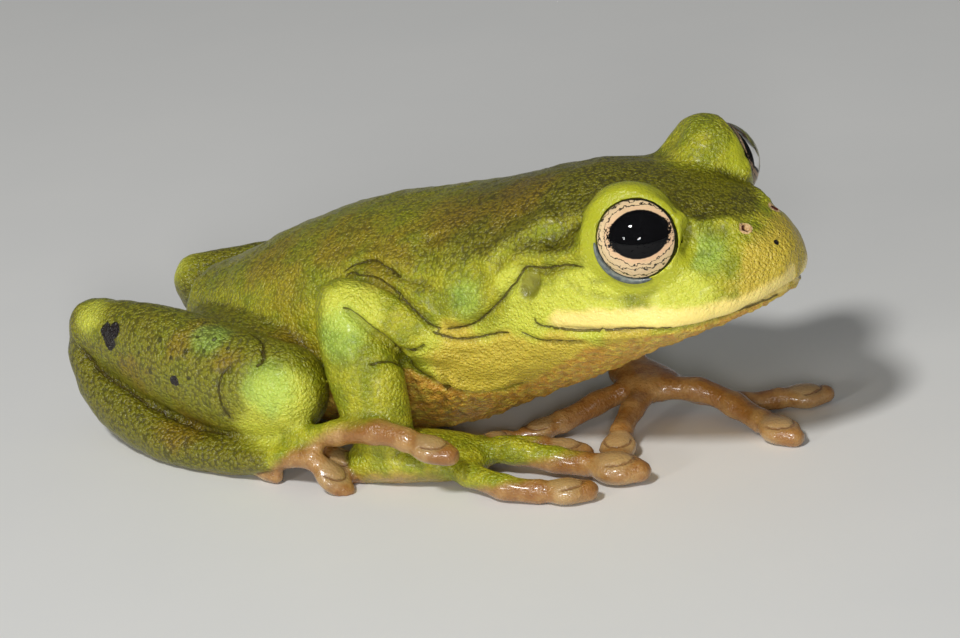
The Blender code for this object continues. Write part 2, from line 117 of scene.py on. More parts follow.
# limbs: x, y, z, half width, half height
RIGHT = {
    "upper_arm": (
        (-14.5, -5, 11.3, 2.4, 2.6), (-19, -8.9, 12, 2.5, 2.8), (-24.5, -11, 13.8, 2.4, 2.5),
        (-27, -11.6, 14.4, 2.3, 2.3)),
    "forearm": (
        (-27, -11.8, 14, 2.4, 2.2), (-25.7, -12.5, 11.5, 3.1, 2.6), (-24.3, -13.1, 8.5, 3.4, 2.6),
        (-23.4, -13.5, 5.6, 3.1, 2.4), (-22.8, -13.5, 3.6, 2.7, 2.2)),
    "hand": (
        (-24.6, -13.4, 1.5, 2.4, 1.9), (-21.5, -12.4, 1.9, 3.2, 2.1), (-18.2, -11, 1.8, 3.4, 1.8),
        (-16.4, -10.2, 1.6, 3, 1.5)),
    "thigh": (
        (-46.5, -1.4, 6.4, 2.6, 3), (-44.2, -5.6, 6.4, 3.7, 3.8), (-39.6, -8.6, 6.8, 4.2, 4.2),
        (-34.6, -11, 7.2, 3.5, 3.7)),
    "shank": (
        (-31.6, -14.2, 7.2, 3.5, 4), (-36.5, -14.3, 7.4, 3.7, 4.5), (-43, -13.4, 8.2, 3.5, 4.4),
        (-49, -11.9, 8.5, 2.8, 3.7), (-53.6, -10.6, 8.8, 2.4, 2.7)),
    "foot": (
        (-54.4, -10.7, 7, 2, 2.3), (-52.5, -12.4, 4.5, 1.9, 2.2), (-48.5, -14.3, 2.9, 1.9, 2.4),
        (-42.5, -15.9, 1.7, 2.1, 1.9), (-36.5, -16.2, 1.6, 2.3, 1.7), (-32.8, -16, 1.9, 2.5, 1.5)),
}
LEFT = {
    "upper_arm": (
        (-13.5, 6, 11.2, 2.5, 2.8), (-17, 10, 11, 2.4, 2.7), (-19, 13, 10.5, 2.4, 2.5),
        (-20.2, 14.6, 10, 2.3, 2.3)),
    "forearm": (
        (-19.6, 14, 9.2, 2, 2), (-18.1, 12.5, 8, 2.4, 2.4), (-15.2, 10.4, 6.1, 2.3, 2.3),
        (-12, 7.9, 4.2, 1.8, 1.7)),
    "hand": ((-11.6, 7.5, 3.3, 1.9, 1.4), (-9.5, 6.6, 3, 2.5, 1.4), (-7.8, 5.7, 2.8, 2.7, 1.3)),
    "thigh": (
        (-46, 1.4, 6.2, 2.5, 2.8), (-43.6, 5, 6.2, 3.3, 3.5), (-38.8, 8, 6.6, 4, 4),
        (-33.6, 10.8, 7, 3.4, 3.6)),
    "shank": (
        (-30.6, 14.4, 7, 3.5, 4), (-36, 13.4, 7.2, 3.6, 4.3), (-42.5, 11, 7.5, 3.4, 4),
        (-48.8, 8, 7.4, 2.7, 3.1), (-54, 5.5, 7.3, 2.3, 2.5)),
    "foot": (
        (-54.2, 6.1, 5.8, 1.9, 2.1), (-52.2, 8.6, 3.8, 1.8, 2), (-48, 11.8, 2.5, 1.9, 2),
        (-42.5, 14.6, 1.7, 2.1, 1.9), (-36.5, 16.4, 1.6, 2.3, 1.7), (-32.5, 17.2, 1.5, 2.5, 1.5)),
}

# a finger or toe: its path from root to pad centre, half thickness, pad radius
RIGHT_FINGERS = (
    (((-18.5, -9.2, 1.5), (-17.6, -7.2, 1.2), (-17.3, -5.4, 0.9)), 1, 1.5),
    (((-17, -9.2, 1.7), (-14.6, -6.6, 1.4), (-12.4, -5.4, 1.1), (-10.6, -5, 0.9)), 1, 1.6),
    (((-17, -10, 1.9), (-13.6, -8.9, 2), (-10, -8.2, 1.5), (-6.8, -7.8, 1.3), (-4.3, -7.5, 1.2)), 1.15, 2.1),
    (((-17.5, -12.4, 1.6), (-13.8, -13.6, 1.4), (-10.6, -14, 1.1), (-8.1, -13.3, 0.9), (-6.1, -12.5, 0.9)),
     1.1, 1.7),
)
LEFT_FINGERS = (
    (((-9.6, 5.6, 2.8), (-11.6, 3, 2.2), (-13.4, 0.2, 1.4), (-15, -1.8, 0.9)), 1.05, 1.5),
    (((-8.2, 5, 2.7), (-8.2, 2.2, 2.2), (-7.7, -0.6, 1.4), (-6.8, -2.9, 0.9)), 1.05, 1.6),
    (((-7.6, 5.9, 2.8), (-3.8, 6.6, 2.7), (-0.6, 6.4, 1.8), (2, 5.6, 1.2), (4.3, 4.8, 0.9)), 1.1, 1.75),
    (((-7.8, 6.7, 2.6), (-4.4, 7.8, 1.9), (-1.3, 8.8, 1.05), (0.8, 10.7, 1), (2.8, 12.3, 0.9)), 1, 1.7),
)
RIGHT_TOES = (
    (((-36.5, -15, 1.2), (-34.6, -15.9, 0.9), (-32.6, -16.8, 0.7)), 0.8, 1.1),
    (((-34.5, -14.6, 1.3), (-31.6, -13.2, 1.1), (-28.8, -12.4, 0.8)), 0.85, 1.3),
    (((-33.2, -15, 1.8), (-30.2, -14.7, 2.4), (-28, -14.6, 2.3), (-26.6, -14.8, 1.4)), 0.95, 1.4),
    (((-33.2, -15.8, 2.3), (-29.6, -16, 3.7), (-25.2, -16.3, 5), (-20.8, -16.3, 5.5), (-16.6, -16.1, 4.6)),
     1.1, 1.7),
    (((-33.2, -16.8, 1.8), (-30, -17.2, 2.5), (-27.6, -17.2, 2.6), (-26, -17.1, 1.2)), 1, 1.6),
)
LEFT_TOES = (
    (((-36, 15.4, 1.2), (-33.6, 13.8, 0.9), (-31.8, 12.6, 0.8)), 0.8, 1.1),
    (((-34, 16, 1.3), (-30.8, 14.9, 1.1), (-28, 14.2, 0.8)), 0.85, 1.3),
    (((-33, 16.6, 1.4), (-28.8, 16.4, 1.2), (-25.2, 16.2, 0.9)), 0.95, 1.5),
    (((-33, 17.4, 1.5), (-27.6, 18.2, 1.4), (-22.8, 18.6, 1.2), (-19, 18.8, 0.9)), 1.05, 1.7),
    (((-33.4, 18.4, 1.4), (-29.8, 19.8, 1.2), (-26.6, 20.8, 0.9)), 0.95, 1.5),
)
SIDES = {"right": (RIGHT, RIGHT_FINGERS, RIGHT_TOES), "left": (LEFT, LEFT_FINGERS, LEFT_TOES)}
LIMB_UP = {"forearm": Vector((0, 1, 0))}
DOME = tuple(math.radians(a) for a in (15, 30, 45, 60, 75))
PAD_SHARES = (-0.95, -0.85, -0.7, -0.5, -0.25, 0.0, 0.25, 0.45, 0.62, 0.76, 0.87)
PAD_LENGTH, KNUCKLE_SPACING, DIGIT_STEP = 1.15, 3.6, 0.35

# where the skin is rounded off: place, reach, how soft
SOFT_PLACES = (
    ((-13.5, -9, 12), 5, 0.8), ((-13, 9, 11.5), 6, 0.9), ((-23, -13.5, 3), 3, 0.7),
    ((-17.2, -10.6, 1.7), 3.6, 0.55), ((-8.5, 6.2, 3), 3.6, 0.5), ((-10.8, 9.2, 4.6), 3.5, 0.7),
    ((-20, 14.4, 10), 3.5, 0.5), ((-27, -12, 14.6), 4.5, 0.7), ((-33.3, -16, 1.9), 2.6, 0.5),
    ((-33, 17.2, 1.6), 2.8, 0.5), ((-54.2, -10.8, 8), 3.6, 0.8), ((-54, 5.8, 6.6), 3.2, 0.8),
    ((-32.5, -12.8, 7.4), 5, 0.6), ((-32, 12.8, 7.2), 5, 0.6), ((-45, 0, 7), 6, 0.7),
)

# ---- folds of the skin
# a fold: its course, how wide and how deep the crease is, how high the skin swells on its left (+) or
# right (-) side, seen from outside along the course, and how far that swelling reaches
MOUTH = (
    (-8.9, -10.2, 15.2), (-9, -10.2, 14.5), (-7.9, -10.3, 14.2), (-5, -10.3, 14.3), (-2.6, -10.1, 14.5),
    (0.8, -9, 14.8), (4.2, -7.2, 15), (6.5, -5.2, 15.3), (8.6, -3.2, 15.8), (9.6, -1.4, 16.1), (9.8, 0, 16.2),
)
MOUTH_FOLD = (0.24, 0.45, -0.1, 0.8)
PAD_FOLD = (0.18, 0.13, 0.0, 0.5)
HEAD_FOLDS = {
    "jaw line": (
        ((-10.8, -10, 13.6), (-9.3, -10.1, 12.9), (-7, -10.1, 12.9), (-4.6, -10, 13.1)),
        0.3, 0.22, 0.12, 0.7),
    "ear fold": (
        ((-3.6, -9.3, 19.6), (-6.1, -9.4, 19.4), (-8.2, -9.6, 19), (-9.9, -9.6, 18.9), (-10.9, -10, 17.5),
         (-13, -10.3, 15.2), (-14.8, -10.3, 13.8), (-16.4, -10.4, 13.2), (-18.1, -10.6, 13)),
        0.3, 0.4, -0.45, 1.3),
    "edge of the snout": (
        ((2.9, -6.9, 23.9), (3.5, -5.6, 23.2), (4.2, -4.2, 22.7), (5.3, -3.1, 22.3), (6.4, -2.6, 21.8)),
        0.65, -0.52, 0, 1),
    "below the eye": (
        ((-6.6, -9.7, 19.4), (-5.9, -10, 18.2), (-4, -10.1, 17.4), (-1.8, -10, 17.2), (0.6, -9.4, 17.5),
         (2.4, -8.7, 18.4)), 0.45, 0.14, 0, 1),
    "behind the eye": (((-5.5, -7.6, 23.6), (-7.2, -8.6, 22.4), (-8.3, -9.4, 20.8)), 1, 0.42, 0, 1),
    "nape": (
        ((-8.6, -7.2, 24), (-10.6, -8.6, 22.4), (-12.8, -9.5, 20.4), (-14.2, -10.1, 18)), 1.1, -0.5, 0, 1),
}
BODY_FOLDS = {
    "over the arm": (
        ((-17.6, -10.8, 13), (-18.9, -10.9, 13.4), (-20, -10.9, 14.2), (-21.2, -10.9, 15.2),
         (-23, -10.6, 16.2), (-24.8, -10.2, 16.7), (-26.9, -9.8, 16.6), (-28.5, -9.4, 16)),
        0.28, 0.42, -0.25, 0.9),
    "shoulder hollow": (
        ((-20.7, -6.7, 19.8), (-20, -8.4, 18.9), (-19.8, -9.6, 17.6), (-20, -10.6, 16.1)), 1.3, 0.38, 0, 1),
    "shoulder blade": (
        ((-25.4, -3.2, 20), (-24.8, -5.2, 19.6), (-23.8, -7.6, 18.5), (-23.1, -9.4, 17)), 1.2, -0.34, 0, 1),
    "second arm fold": (
        ((-28.7, -9, 16), (-26.9, -8.5, 17), (-25.2, -8.7, 17.4), (-23.3, -9.5, 17.1), (-21.7, -9.9, 16.6)),
        0.28, 0.25, 0.2, 0.8),
    "neck crease": (
        ((-18.9, -11.3, 13), (-17.7, -10.9, 12.5), (-16.6, -10.4, 12.2), (-15, -10.2, 12.4),
         (-13.3, -10.1, 12.9), (-11.4, -10.1, 13.3)), 0.28, 0.25, -0.15, 0.7),
    "inside the elbow": (
        ((-25.8, -13.6, 15.2), (-24.5, -13.6, 14.4), (-23, -13.4, 13.2), (-21.9, -12.6, 12),
         (-21.6, -11.2, 10.5), (-21.6, -10.5, 9)), 0.3, 0.45, 0.25, 0.9),
    "under the arm": (
        ((-21.9, -12.8, 12), (-20.9, -12.3, 11.4), (-19.8, -11.9, 11.3), (-19, -11.6, 11.9)),
        0.26, 0.3, 0.15, 0.6),
    "forearm crease": (
        ((-22.8, -15, 10.8), (-22.1, -14.2, 10.9), (-21.6, -12.8, 10.3), (-21.6, -11.4, 9.4)),
        0.26, 0.22, -0.15, 0.7),
    "below the chest": (
        ((-21.9, -10.8, 9.6), (-20.7, -10, 8.2), (-19.7, -9.4, 7.2), (-18.5, -8.4, 6.5), (-17, -7.6, 6.2),
         (-14.8, -7.1, 6.6), (-12.2, -7.2, 7.8)), 0.4, 0.35, 0.35, 1.3),
    "armpit": (
        ((-21.6, -10.4, 9.4), (-21.7, -10.2, 8.5), (-21.9, -9.2, 6.2), (-22.2, -8, 4.3)),
        0.32, 0.15, 0.14, 0.6),
    "beside the armpit": (
        ((-20.2, -10.4, 9), (-19.9, -10.1, 8.3), (-20, -8.8, 6.3), (-20.2, -7.3, 4.5)),
        0.32, 0.15, 0.14, 0.6),
    "before the armpit": (
        ((-18.6, -9.9, 8.4), (-18.7, -9.6, 7.6), (-18.9, -7.8, 5.6), (-19, -6.6, 4.4)), 0.3, 0.14, 0.12, 0.6),
    "knee crease": (
        ((-36, -13, 12), (-33.4, -14.6, 11.3), (-32.7, -15.6, 11.1), (-32.4, -16.3, 10.5),
         (-32.9, -16.9, 10.1)), 0.24, 0.22, 0, 0.6),
    "between shank and foot": (
        ((-54.6, -12.7, 8.4), (-52.5, -13.3, 6.9), (-50.3, -13.9, 5.8), (-47.5, -14.7, 5.1),
         (-45.3, -15.2, 4.4), (-42.1, -15.6, 3.7), (-38.5, -16.2, 3.3), (-35.4, -16.5, 3.3)),
        0.3, 0.28, 0, 0.6),
    "knee cap": (
        ((-34.9, -17, 10.2), (-35.7, -17.5, 9.3), (-36, -17.8, 7.9), (-35.8, -17.7, 6.4),
         (-35.2, -17.2, 5.2)), 0.35, 0.16, -0.12, 0.8),
}
# smooth swellings and hollows: place, radius, height
SWELLINGS = (((4.4, -5.6, 20.6), 1.9, -0.62), ((6.7, -2.5, 21.5), 0.75, 0.2), ((-14.5, -9.4, 9.5), 3.2, 0.35))
LEFT_MOUND = (((-4.3, 4.4, 26.3), 2.0, -1.0), ((-1.8, 4.0, 27.2), 1.0, 0.1), ((2.7, 5.6, 23.7), 1.9, -0.25))
EARDRUM = (-9.4, -9.9, 17.7)
EARDRUM_RADIUS = 1.2
NOSTRILS = ((6.7, -2.53, 21.66), (6.7, 2.53, 21.66))
NOSTRIL_RADIUS = 0.34

# ---- patches of the skin: place, radius
# lighter green skin, partly painted highlight on the cheeks, chest, arms, knees and heels
BRIGHT_AND_HIGHLIT = (
    ((-30.6, -17, 7.6), 4.1), ((-33, -16.5, 4.5), 3), ((-24.8, -13.2, 15.4), 3.8),
    ((-52.5, -12.5, 11.1), 2.6), ((-16.5, -9.5, 10), 5.5), ((-11.5, -9.8, 11.2), 4),
    ((-6.5, -9.5, 12.8), 3.5), ((-4, -10.3, 16.6), 4.6), ((-9, -10.3, 15), 3.5), ((3.5, -8, 17), 3.6),
    ((-34, 17, 7), 5), ((-16, 14, 9), 4.5), ((-4, 10.3, 16.6), 6), ((-55, 5.5, 8.5), 2.6),
    ((-11, -10, 17.5), 2),
)
RUST = (
    ((-34.1, -8.8, 13.9), 3.6), ((-40.6, -16.3, 10.9), 2), ((-35.8, -16.8, 10.4), 1.8),
    ((-39.2, -15.2, 12), 2.2), ((-30, -6, 17.8), 4.5), ((-24, -9, 17.5), 4), ((-38, -5, 14.5), 4.2),
    ((-20, -5, 20.8), 4.5), ((-46, -15.8, 7.5), 2.6), ((-24, 6, 19.2), 4), ((-36, 5, 15.5), 3.5),
    ((-14, -4, 23.2), 4.6), ((-33, -10.4, 9), 4), ((-41, -17, 3.5), 3),
)
GOLD = (
    ((-16.5, -9.5, 9.5), 4.6), ((-11.5, -9.8, 10.8), 3.6), ((-6.5, -9, 12), 3.4), ((-1, -8.5, 13), 3.4),
    ((-17, -10, 13), 2), ((-12, -8.6, 8.6), 3.6), ((-8, -8.8, 10.6), 3), ((-17, -8.6, 7.4), 2.8),
)
# cooler green mottling, partly painted sheen on the knees and arms
COOL_AND_SHEEN = (
    ((4.6, -5.6, 20.4), 2.4), ((-31.4, -17.2, 8.6), 3.2), ((-25.5, -14.6, 13), 3.2),
    ((-15.5, -10.6, 16), 2.2), ((-38, -15.5, 11.5), 2.4), ((4.6, 5.6, 20.4), 2.6), ((-34.4, 17.4, 8.6), 2.6),
)
# x and the height below which the skin of the belly and the throat is coarse and pale
BELLY_EDGE = (
    (-40, 3), (-26, 8), (-22.4, 9.4), (-20.7, 8.2), (-18.5, 6.7), (-17, 6.3), (-14.8, 6.7), (-12.2, 7.9),
    (-9.3, 9.8), (-5, 12.6), (0, 14), (5, 15), (10, 16.4),
)
GRAIN_SIZE = 0.95
# how far from the bottom of a crease its distance is written down
CREASE_REACH = 0.9
# from which to which share of its length a finger or toe turns pink
PINK_FROM = {
    ("finger", "right"): (0.3, 0.85), ("toe", "right"): (0.1, 0.9),
    ("finger", "left"): (-0.3, 0.2), ("toe", "left"): (0, 0.6),
}
# how far from the ball the colour of the lids begins to fade, and where it ends
LID_BANDS = {"right": (0.75, 1.7), "left": (0.25, 0.6)}

# ---- camera, lamps and floor
# place and aim in the frog's millimetres, roll in degrees, lens in mm
CAMERA_PLACE = (191.647, -325.614, 155.026)
CAMERA_AIM = (-13.311, -11.993, 14.903)
CAMERA_ROLL = -5.48
CAMERA_LENS = 184.5
# a lamp: its place in metres, watts, its size in metres
LAMPS = {
    "key": ((0.045, -0.42, 0.46), 2.2, 0.08),
    "left": ((-0.08, -0.6, 0.18), 0.6, 0.1),
    "front": ((0.33, -0.52, 0.19), 1.1, 0.1),
}
LAMP_AIM = (0.0, 0.0, 0.01)
FLOOR_SIZE = 6.0
FLOOR_DROP = 0.00005
SKY_COLOUR, SKY_STRENGTH = (0.9, 0.92, 0.95, 1), 0.13


# ---- helpers: numbers and meshes
def flow(rows, per_span):
    """Rows of numbers run into a smooth curve through every row (Catmull-Rom)."""
    first = [2 * a - b for a, b in zip(rows[0], rows[1])]
    last = [2 * a - b for a, b in zip(rows[-1], rows[-2])]
    held = [first, *rows, last]
    out = []
    for p0, p1, p2, p3 in zip(held, held[1:], held[2:], held[3:]):
        for t in [step / per_span for step in range(per_span)]:
            out.append([
                0.5 * (2 * b + (c - a) * t + (2 * a - 5 * b + 4 * c - d) * t**2
                       + (3 * b - a - 3 * c + d) * t**3)
                for a, b, c, d in zip(p0, p1, p2, p3)
            ])
    out.append(list(rows[-1]))
    return out


def power(value, fullness):
    return math.copysign(abs(value) ** (2.0 / fullness), value)


def fade(value, start, end):
    """0 before start, 1 after end, and smooth between them."""
    t = np.clip((value - start) / (end - start), 0.0, 1.0)
    return t * t * (3 - 2 * t)


def band(value, low, from_here, to_here, high):
    """1 between two values, and smooth to 0 on both sides of them."""
    return fade(value, low, from_here) * (1.0 - fade(value, to_here, high))


def taper(along, start, end):
    """1 along most of a course, and smooth to 0 at both its ends."""
    return fade(along, start, end) * fade(1.0 - along, start, end)


def hump(distance, width):
    return np.exp(-((distance / width) ** 2))


def far_from(spots, place):
    return np.linalg.norm(spots - place, axis=1)


def patch(spots, place, full, none):
    """1 within the first distance of a place, smooth to 0 at the second."""
    return 1.0 - fade(far_from(spots, place), full, none)


def mirrored(point, side):
    return (point[0], side * point[1], *point[2:])


def left_side(course):
    """The same course on the left side."""
    return [mirrored(point, -1) for point in course]


def read_out(items, word):
    """One vector for each point of a mesh, as an array."""
    found = np.empty(len(items) * 3, np.float32)
    items.foreach_get(word, found)
    return found.reshape(-1, 3).astype(float)


def places(mesh):
    return read_out(mesh.vertices, "co")


def set_places(mesh, spots):
    mesh.vertices.foreach_set("co", np.asarray(spots, np.float32).ravel())
    mesh.update()


def choose(*items):
    """Selects these pieces and nothing else; the first one is worked on."""
    for item in bpy.context.selected_objects:
        item.select_set(False)
    for item in items:
        item.select_set(True)
    if items:
        bpy.context.view_layer.objects.active = items[0]


def named(item, name):
    item.name = item.data.name = name
    return item


def apply(item, kind, **settings):
    """Adds a modifier, gives it its settings and applies it."""
    choose(item)
    step = item.modifiers.new(kind.lower(), kind)
    for word, value in settings.items():
        setattr(step, word, value)
    bpy.ops.object.modifier_apply(modifier=step.name)


def edit(work, **settings):
    """One step of work on the whole chosen piece in edit mode."""
    bpy.ops.object.mode_set(mode="EDIT")
    bpy.ops.mesh.select_all(action="SELECT")
    work(**settings)
    bpy.ops.object.mode_set(mode="OBJECT")


# ---- helpers: forms
def begin(add, **settings):
    """A new basic form, with its place, turn and size applied."""
    choose()
    add(**settings)
    bpy.ops.object.transform_apply(location=True, rotation=True, scale=True)
    return bpy.context.object


def draw_out(start, rings, end):
    """A closed form: a ball whose rings are set out along the given ones."""
    sides, count = len(rings[0]), len(rings)
    form = begin(bpy.ops.mesh.primitive_uv_sphere_add, segments=sides, ring_count=count + 1, radius=1.0)
    ball = places(form.data)
    level = np.rint(np.arccos(np.clip(ball[:, 2], -1, 1)) * (count + 1) / math.pi).astype(int)
    turn = np.rint(np.arctan2(ball[:, 1], ball[:, 0]) * sides / (2 * math.pi)).astype(int) % sides
    table = np.array([[start] * sides, *rings, [end] * sides], float)
    set_places(form.data, table[level, turn])
    return form


def turns(sides):
    return [2 * math.pi * k / sides for k in range(sides)]


def body_ring(row):
    """One cross-section of the head and trunk, upright and square to X."""
    x, half, top, wide, bottom, upper, lower = row
    ring = []
    for angle in turns(BODY_SIDES):
        tall, full = (top - wide, upper) if math.sin(angle) >= 0 else (wide - bottom, lower)
        ring.append((x, half * power(math.cos(angle), full), wide + tall * power(math.sin(angle), full)))
    return ring


def tube(rows, sides, up, caps):
    """A rounded length of limb whose rows are x, y, z, half width, half height."""
    centres = [Vector(row[:3]) for row in rows]
    rings = []
    count = len(rows)
    for index, row in enumerate(rows):
        along = (centres[min(index + 1, count - 1)] - centres[max(index - 1, 0)]).normalized()
        across = along.cross(up).normalized()
        rise = across.cross(along)
        depth = min(row[3], row[4])
        steps = [(0.0, 1.0)]
        if index == 0:
            start = centres[0] - along * depth
            steps = [(-math.sin(a), math.cos(a)) for a in reversed(caps[0])] + steps
        if index == count - 1:
            end = centres[-1] + along * depth
            steps = steps + [(math.sin(a), math.cos(a)) for a in caps[1]]
        for ahead, scale in steps:
            centre = centres[index] + along * (ahead * depth)
            rings.append([
                centre + across * (row[3] * scale * math.cos(turn)) + rise * (row[4] * scale * math.sin(turn))
                for turn in turns(sides)
            ])
    return draw_out(start, rings, end)


def digit(path, thick, pad):
    """A finger or toe: a slim tube, thicker at its knuckles, with a broad pad round the path's last point."""
    line = [Vector(point) for point in flow(path, 12)]
    last = line[-1]
    ahead = (last - line[-2]).normalized()
    reach = PAD_LENGTH * pad
    rows = []
    for point in line:
        left = (point - last).length
        if left <= reach * 0.97 or (rows and (point - Vector(rows[-1][:3])).length < DIGIT_STEP):
            continue
        knuckle = hump((left - KNUCKLE_SPACING) % KNUCKLE_SPACING - KNUCKLE_SPACING / 2, 0.7)
        half = thick * (0.92 + 0.16 * knuckle)
        rows.append((*point, half, half))
    for share in PAD_SHARES:
        outline = math.sqrt(1.0 - share**2)
        place = last + ahead * (share * reach)
        rows.append((*place, max(0.9 * thick, pad * outline), max(0.85 * thick, 0.62 * pad * outline)))
    return tube(rows, DIGIT_SIDES, UP, ((), (math.radians(35), math.radians(65))))


def orbit(word):
    """The mound of skin that an eye sits in, wide at its foot and narrow at its top."""
    middle = Vector(ORBITS[word])
    rings = [
        [middle + Vector((length * math.cos(a), width * math.sin(a), height)) for a in turns(ORBIT_SIDES)]
        for height, length, width in flow(ORBIT_ROWS, 5)
    ]
    foot, top = Vector((0, 0, ORBIT_ROWS[0][0])), Vector((0, 0, ORBIT_TOP))
    return draw_out(middle + foot, rings, middle + top)


def eyelid(word):
    """A soft rim round the eye, where the skin of the lids lies on the ball."""
    axis = Vector(LID_AXES[word]).normalized()
    angle = math.radians(LID_ANGLES[word])
    reach = EYE_RADIUS + 0.06
    return begin(
        bpy.ops.mesh.primitive_torus_add, location=Vector(EYES[word]) + axis * (reach * math.cos(angle)),
        rotation=UP.rotation_difference(axis).to_euler(), major_segments=96, minor_segments=16,
        major_radius=reach * math.sin(angle), minor_radius=LID_THICKNESS)


# ---- the skin as clay
class Clay:
    """The skin's points, the way each faces and its neighbours, worked on as arrays."""

    def __init__(self, item):
        self.mesh = item.data
        self.spots = places(self.mesh)
        edges = np.empty(len(self.mesh.edges) * 2, np.int32)
        self.mesh.edges.foreach_get("vertices", edges)
        self.one, self.other = edges.reshape(-1, 2).T
        self.share = 1.0 / np.maximum(self.round_about(np.ones(len(self.spots))), 1)
        self.look()

    def look(self):
        """Takes the directions again after the surface has changed."""
        set_places(self.mesh, self.spots)
        self.out = read_out(self.mesh.vertex_normals, "vector")

    def round_about(self, values):
        """For each point, the sum of its neighbours' values."""
        one, other, count = self.one, self.other, len(values)
        return np.bincount(one, values[other], count) + np.bincount(other, values[one], count)

    def middles(self):
        """For each point, the middle of its neighbours."""
        return np.stack([self.round_about(way) for way in self.spots.T], axis=1) * self.share[:, None]

    def ease(self, weight, passes):
        """Draws each point towards the middle of its neighbours."""
        for _ in range(passes):
            self.spots += (self.middles() - self.spots) * np.reshape(weight, (-1, 1))

    def steady(self, passes):
        """Takes out the small steps of the surface and keeps its volume."""
        for _ in range(passes):
            self.ease(0.5, 1)
            self.ease(-0.52, 1)

    def blur(self, values, passes):
        """Evens out one value for each point with its neighbours' values."""
        for _ in range(passes):
            values = 0.5 * (values + self.round_about(values) * self.share)
        return values

    def far(self, place):
        return far_from(self.spots, place)

    def nearest(self, place):
        return np.argmin(((self.spots - place) ** 2).sum(1))

    def line(self, course):
        """A course run smooth and laid on the skin: its points and its directions."""
        points = []
        for place in flow(course, 14):
            near = self.nearest(place)
            out = self.out[near]
            points.append(np.array(place) + out * np.dot(self.spots[near] - place, out))
        points = np.array(points)
        ahead = np.gradient(points, axis=0)
        return points, ahead / np.linalg.norm(ahead, axis=1, keepdims=True)

    def measure(self, course, reach):
        """For the points within reach of a course: which, how far, how far left, how far along (0 to 1)."""
        points, ahead = self.line(course)
        low, high = points.min(0) - reach, points.max(0) + reach
        which = np.flatnonzero(((self.spots > low) & (self.spots < high)).all(1))
        gap = self.spots[which, None, :] - points[None, :, :]
        far = np.sqrt((gap**2).sum(2))
        nearest = far.argmin(1)
        row = np.arange(len(which))
        far = far[row, nearest]
        left = -(np.cross(ahead[nearest], self.out[which]) * gap[row, nearest]).sum(1)
        close = far < reach
        return which[close], far[close], left[close], nearest[close] / (len(points) - 1)

    def fold(self, course, width, depth, swell, spread):
        """Presses a crease along a course and swells the skin on one side of it."""
        which, far, left, along = self.measure(course, 3.5 * max(width, spread))
        lift = -depth * hump(far, width)
        beside = np.where(left * math.copysign(1, swell) > 0, far, 99.0)
        lift += abs(swell) * hump(beside - 0.8 * spread, 0.6 * spread)
        self.spots[which] += self.out[which] * (lift * taper(along, 0.0, 0.12))[:, None]

    def push(self, place, radius, height):
        """A swelling (or, below 0, a hollow) round a place."""
        self.spots += self.out * (height * hump(self.far(place), radius))[:, None]


# ---- the skin
MOUTH_LINE = (*MOUTH, *left_side(MOUTH[::-1]))[:-1]


def digits_of(word):
    """The fingers and toes of one side: the name, path, half thickness and pad radius of each."""
    for kind, digits in zip(("finger", "toe"), SIDES[word][1:]):
        for number, one in enumerate(digits, 1):
            yield (f"{kind}_{number}_{word}", *one)


def skin_forms():
    """The forms that the skin is drawn over, each under the name of its part."""
    forms = {"body": draw_out(SNOUT_TIP, [body_ring(row) for row in flow(BODY, 4)], VENT)}
    for word, (limbs, *_) in SIDES.items():
        forms[f"orbit_{word}"] = orbit(word)
        forms[f"lid_{word}"] = eyelid(word)
        for part, rows in limbs.items():
            forms[f"{part}_{word}"] = tube(flow(rows, 6), LIMB_SIDES, LIMB_UP.get(part, UP), (DOME, DOME))
        for name, *shape in digits_of(word):
            forms[name] = digit(*shape)
    return forms


def soften(clay):
    """Rounds the skin off where one part grows out of another."""
    clay.steady(4)
    weight = np.full(len(clay.spots), 0.06)
    for place, reach, amount in SOFT_PLACES:
        weight = np.maximum(weight, 0.5 * amount * patch(clay.spots, place, 0.0, reach))
    for word, centre in EYES.items():
        mound = patch(clay.spots, ORBITS[word], 0.0, 9.0)
        lids = fade(clay.far(centre), EYE_RADIUS + 0.5, EYE_RADIUS + 1.5)
        weight = np.maximum(weight, 0.5 * mound * lids)
    clay.ease(weight, 24)
    clay.look()


def fit_lids(clay, word):
    """Sets the skin back from the front of an eye, and holds it off the ball below the edge of the lids."""
    turn, centre = np.array(eye_directions(word, LID_AXES)), np.array(EYES[word])
    angle = math.radians(LID_ANGLES[word])
    edge, level = EYE_RADIUS * math.sin(angle), EYE_RADIUS * math.cos(angle) + LID_HEIGHT
    place = (clay.spots - centre) @ turn.T
    across = np.hypot(place[:, 0], place[:, 1])
    over = place[:, 2] - level + LID_SLOPE * (across - edge)
    beside = band(across, 2.4, 3.0, 4.6, 6.6) * (place[:, 2] < 4.5)  # the skin round the opening
    place[:, 2] -= 0.8 * beside * np.maximum(over, 0.0)
    reach = np.linalg.norm(place, axis=1)
    below = band(place[:, 2], -2.0, -1.0, level - 0.9, level - 0.4)
    lift = (reach > EYE_RADIUS - 1.2) * below * np.maximum(EYE_RADIUS + 0.8 * LID_THICKNESS - reach, 0.0)
    clay.spots = place * (1.0 + lift / reach)[:, None] @ turn + centre


def shape_lids(clay):
    """Draws the lids, so that each ball stands out of them, and eases them into the cheek."""
    for place, radius, height in LEFT_MOUND:
        clay.push(place, radius, height)
    for word in EYES:
        fit_lids(clay, word)
        place = in_eye(word, clay.spots, LID_AXES)
        across = np.hypot(place[:, 0], place[:, 1])
        below = fade(-place[:, 1], 0.8, 2.4) * fade(across, 3.6, 4.3) * (1.0 - fade(across, 6.0, 8.0))
        clay.ease(0.5 * below * (place[:, 2] > -2.5), 50)
        foot = np.linalg.norm((clay.spots - ORBITS[word]) * (1, 1, 0.8), axis=1)
        clay.ease(0.5 * (band(foot, 3.6, 4.4, 6.0, 8.0) * fade(-place[:, 2], 0.8, 2.0)), 70)
    clay.look()


